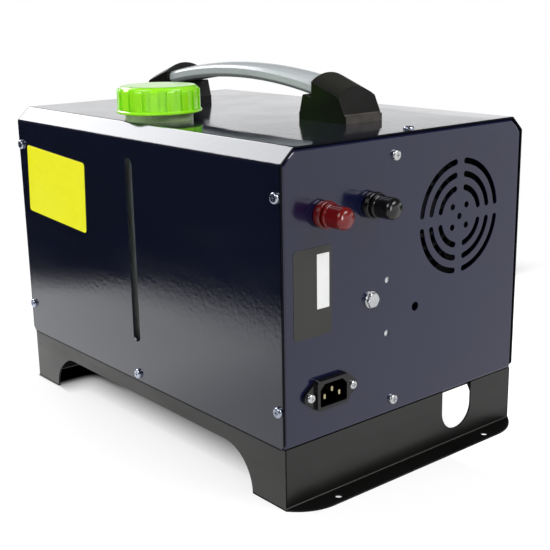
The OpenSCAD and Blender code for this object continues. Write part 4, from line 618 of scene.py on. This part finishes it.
def white_world():
    """White to the camera; in reflections white low on the far side and dim overhead and on the
    near side; softer as a light."""
    far_side, near_side, overhead, as_light = 0.92, 0.04, 0.05, 0.55
    world = bpy.data.worlds.new("studio")
    world.use_nodes = True
    tree = world.node_tree
    tree.nodes.clear()

    def node(kind, **inputs):
        made = tree.nodes.new("ShaderNode" + kind)
        for key, value in inputs.items():
            socket = made.inputs[key.replace("_", " ")]
            if isinstance(value, bpy.types.NodeSocket):
                tree.links.new(value, socket)
            else:
                socket.default_value = value
        return made

    def span(value, to_low, to_high, low=0.0, high=1.0, soft=False):
        made = node("MapRange", Value=value, From_Min=low, From_Max=high, To_Min=to_low,
                    To_Max=to_high)
        if soft:
            made.interpolation_type = "SMOOTHSTEP"
        return made.outputs["Result"]

    path = node("LightPath").outputs
    toward = node("SeparateXYZ", Vector=node("TexCoord").outputs["Generated"]).outputs
    low_down = span(toward["X"], far_side, near_side, -0.1, 0.1)
    mirrored = span(toward["Z"], low_down, overhead, 0.139, 0.15, soft=True)
    strength = span(path["Is Glossy Ray"], as_light, mirrored)
    for kind in ("Is Transmission Ray", "Is Camera Ray"):
        strength = span(path[kind], strength, 1.0)
    light = node("Background", Color=(1.0, 1.0, 1.0, 1.0), Strength=strength)
    tree.links.new(light.outputs[0], node("OutputWorld").inputs["Surface"])
    bpy.context.scene.world = world


def case_shadow(g, x, y):
    """Distance out of the shadow under the case, and into the patch lit by the rear notch."""
    steep = 8.0
    arch = g.math("SMOOTH_MIN", g.math("SUBTRACT", x, 76 * MM), g.math("ADD", y, 154 * MM), 20 * MM)
    sill = g.math("MULTIPLY", g.math("SUBTRACT", x, base_side - 2.5 * MM), steep)
    skirt = g.math("MULTIPLY", g.math("SUBTRACT", 1.8 * MM - skirt_y, y), steep)
    far = g.math("SUBTRACT", -50 * MM, x)
    rear = g.math("SUBTRACT", y, 165 * MM)
    notch = g.math("MINIMUM", g.math("SUBTRACT", y, 115 * MM), g.math("SUBTRACT", -28 * MM, x))
    return g.chain("MAXIMUM", arch, sill, far, rear, skirt, notch), notch


def shadowed_floor(g, x, y):
    """The floor near the case as the camera sees it: grey light with the case's shadow painted into its
    glow and colour, darkest under the front end.
    """
    shadow, notch = case_shadow(g, x, y)
    # Painted light: more glow on the far side under the case and behind the rear notch
    far_side = g.math("MAXIMUM", g.span(x, -70 * MM, -100 * MM, 0.0, 0.3),
                      g.span(notch, 0.0, 20 * MM, 0.0, 0.3))
    # Painted shadow: glow and colour go almost black under the front end, inside the front skirt and the
    # near side
    corner = g.math("SMOOTH_MIN", g.math("SUBTRACT", x, 82 * MM), g.math("ADD", y, 149 * MM),
                    30 * MM)
    inward = g.span(corner, 7 * MM, -6 * MM, 0.0, 1.0, True)
    forward = g.span(y, -80 * MM, -120 * MM, 0.0, 1.0, True)
    within_skirt = g.span(y, -skirt_y - 2.2 * MM, -skirt_y - 1.5 * MM)
    within_side = g.span(x, base_side + 1.5 * MM, base_side - 2.5 * MM)
    outside_painted_shadow = g.inverse(g.chain("MULTIPLY", inward, forward, within_skirt, within_side))
    # Painted shadow: the glow falls from 0.7 to 0.08 towards the case
    strength = g.math("ADD", g.span(shadow, 0.0, 35 * MM, 0.08, 0.7), far_side)
    glow = g.add("Emission", {"Strength": g.math("MULTIPLY", strength, outside_painted_shadow)})
    color = g.mix(outside_painted_shadow, (0.004, 0.004, 0.003), (0.32, 0.32, 0.32))
    lit = g.add("BsdfDiffuse", {"Color": color})
    return g.add("AddShader", {0: lit.outputs[0], 1: glow.outputs[0]})


def mirrored_table(g, x, y):
    """The floor in reflections: a pale table that ends beside the case and narrows in front."""
    widening = g.math("MULTIPLY", g.math("MAXIMUM", g.math("SUBTRACT", y, 100 * MM)), 3.0)
    half_width = g.math("ADD", 403 * MM, widening)
    steps = ((-200 * MM, -380 * MM, 28 * MM), (-385 * MM, -465 * MM, 75 * MM),
             (-465 * MM, -600 * MM, 50 * MM))
    for start, end, inward in steps:
        half_width = g.math("SUBTRACT", half_width, g.span(y, start, end, 0.0, inward))
    past = g.math("SUBTRACT", g.math("ABSOLUTE", x), half_width)
    level = g.span(y, -150 * MM, 30 * MM, 1.04, 0.68, True)
    fading = g.span(past, -75 * MM, 55 * MM, 1.0, 0.01, True)
    return g.add("Emission", {"Strength": g.math("MULTIPLY", level, fading)})


def studio_floor():
    """Pale floor: white to the camera past the object's shadow, a table in reflections."""
    grey_until, white_from, half = 0.36, 0.6, 4.0
    g = Graph("studio_floor")
    place = g.xyz(g.place)
    x, y = place["X"], place["Y"]
    path = g.add("LightPath", {}).outputs
    away = g.add("VectorMath", {0: g.place}, operation="LENGTH").outputs["Value"]
    seen = g.blend(g.span(away, grey_until, white_from, soft=True), shadowed_floor(g, x, y),
                   g.add("Emission", {"Strength": 1.0}))
    real = g.add("BsdfDiffuse", {"Color": (0.8, 0.8, 0.8, 1.0)})
    unseen = g.blend(path["Is Glossy Ray"], real, mirrored_table(g, x, y))
    surface = g.blend(path["Is Camera Ray"], unseen, seen)
    g.tree.links.new(surface.outputs[0], g.out.inputs["Surface"])
    g.tree.nodes.remove(g.bsdf)
    data = bpy.data.meshes.new("floor")
    data.from_pydata([(-half, -half, 0), (half, -half, 0), (half, half, 0), (-half, half, 0)], [],
                     [(0, 1, 2, 3)])
    data.materials.append(g.mat)
    ground = bpy.data.objects.new("floor", data)
    bpy.context.scene.collection.objects.link(ground)


photo_camera()
white_world()
studio_floor()
softbox("key_softbox", place=(-0.5, 1.7, 1.5), target=(0, 0, 0.15), size=(1.2, 1.0), watts=26)
softbox("strip_softbox", place=(0.36, 1.7, 0.36), target=(0.07, 0.2, 0.21), size=(0.4, 0.9),
        watts=14, only=["red_post_knob", "black_post_knob", "earth_bolt"])
softbox("side_softbox", place=(1.7, 0.1, 1.5), target=(0, 0, 0.15), size=(1.0, 1.0), watts=14)
softbox("back_softbox", place=(0.3, -1.65, 1.25), target=(0.1, 0, 0.25), size=(1.5, 0.95),
        watts=23.6)
bpy.context.scene.view_settings.view_transform = "Standard"
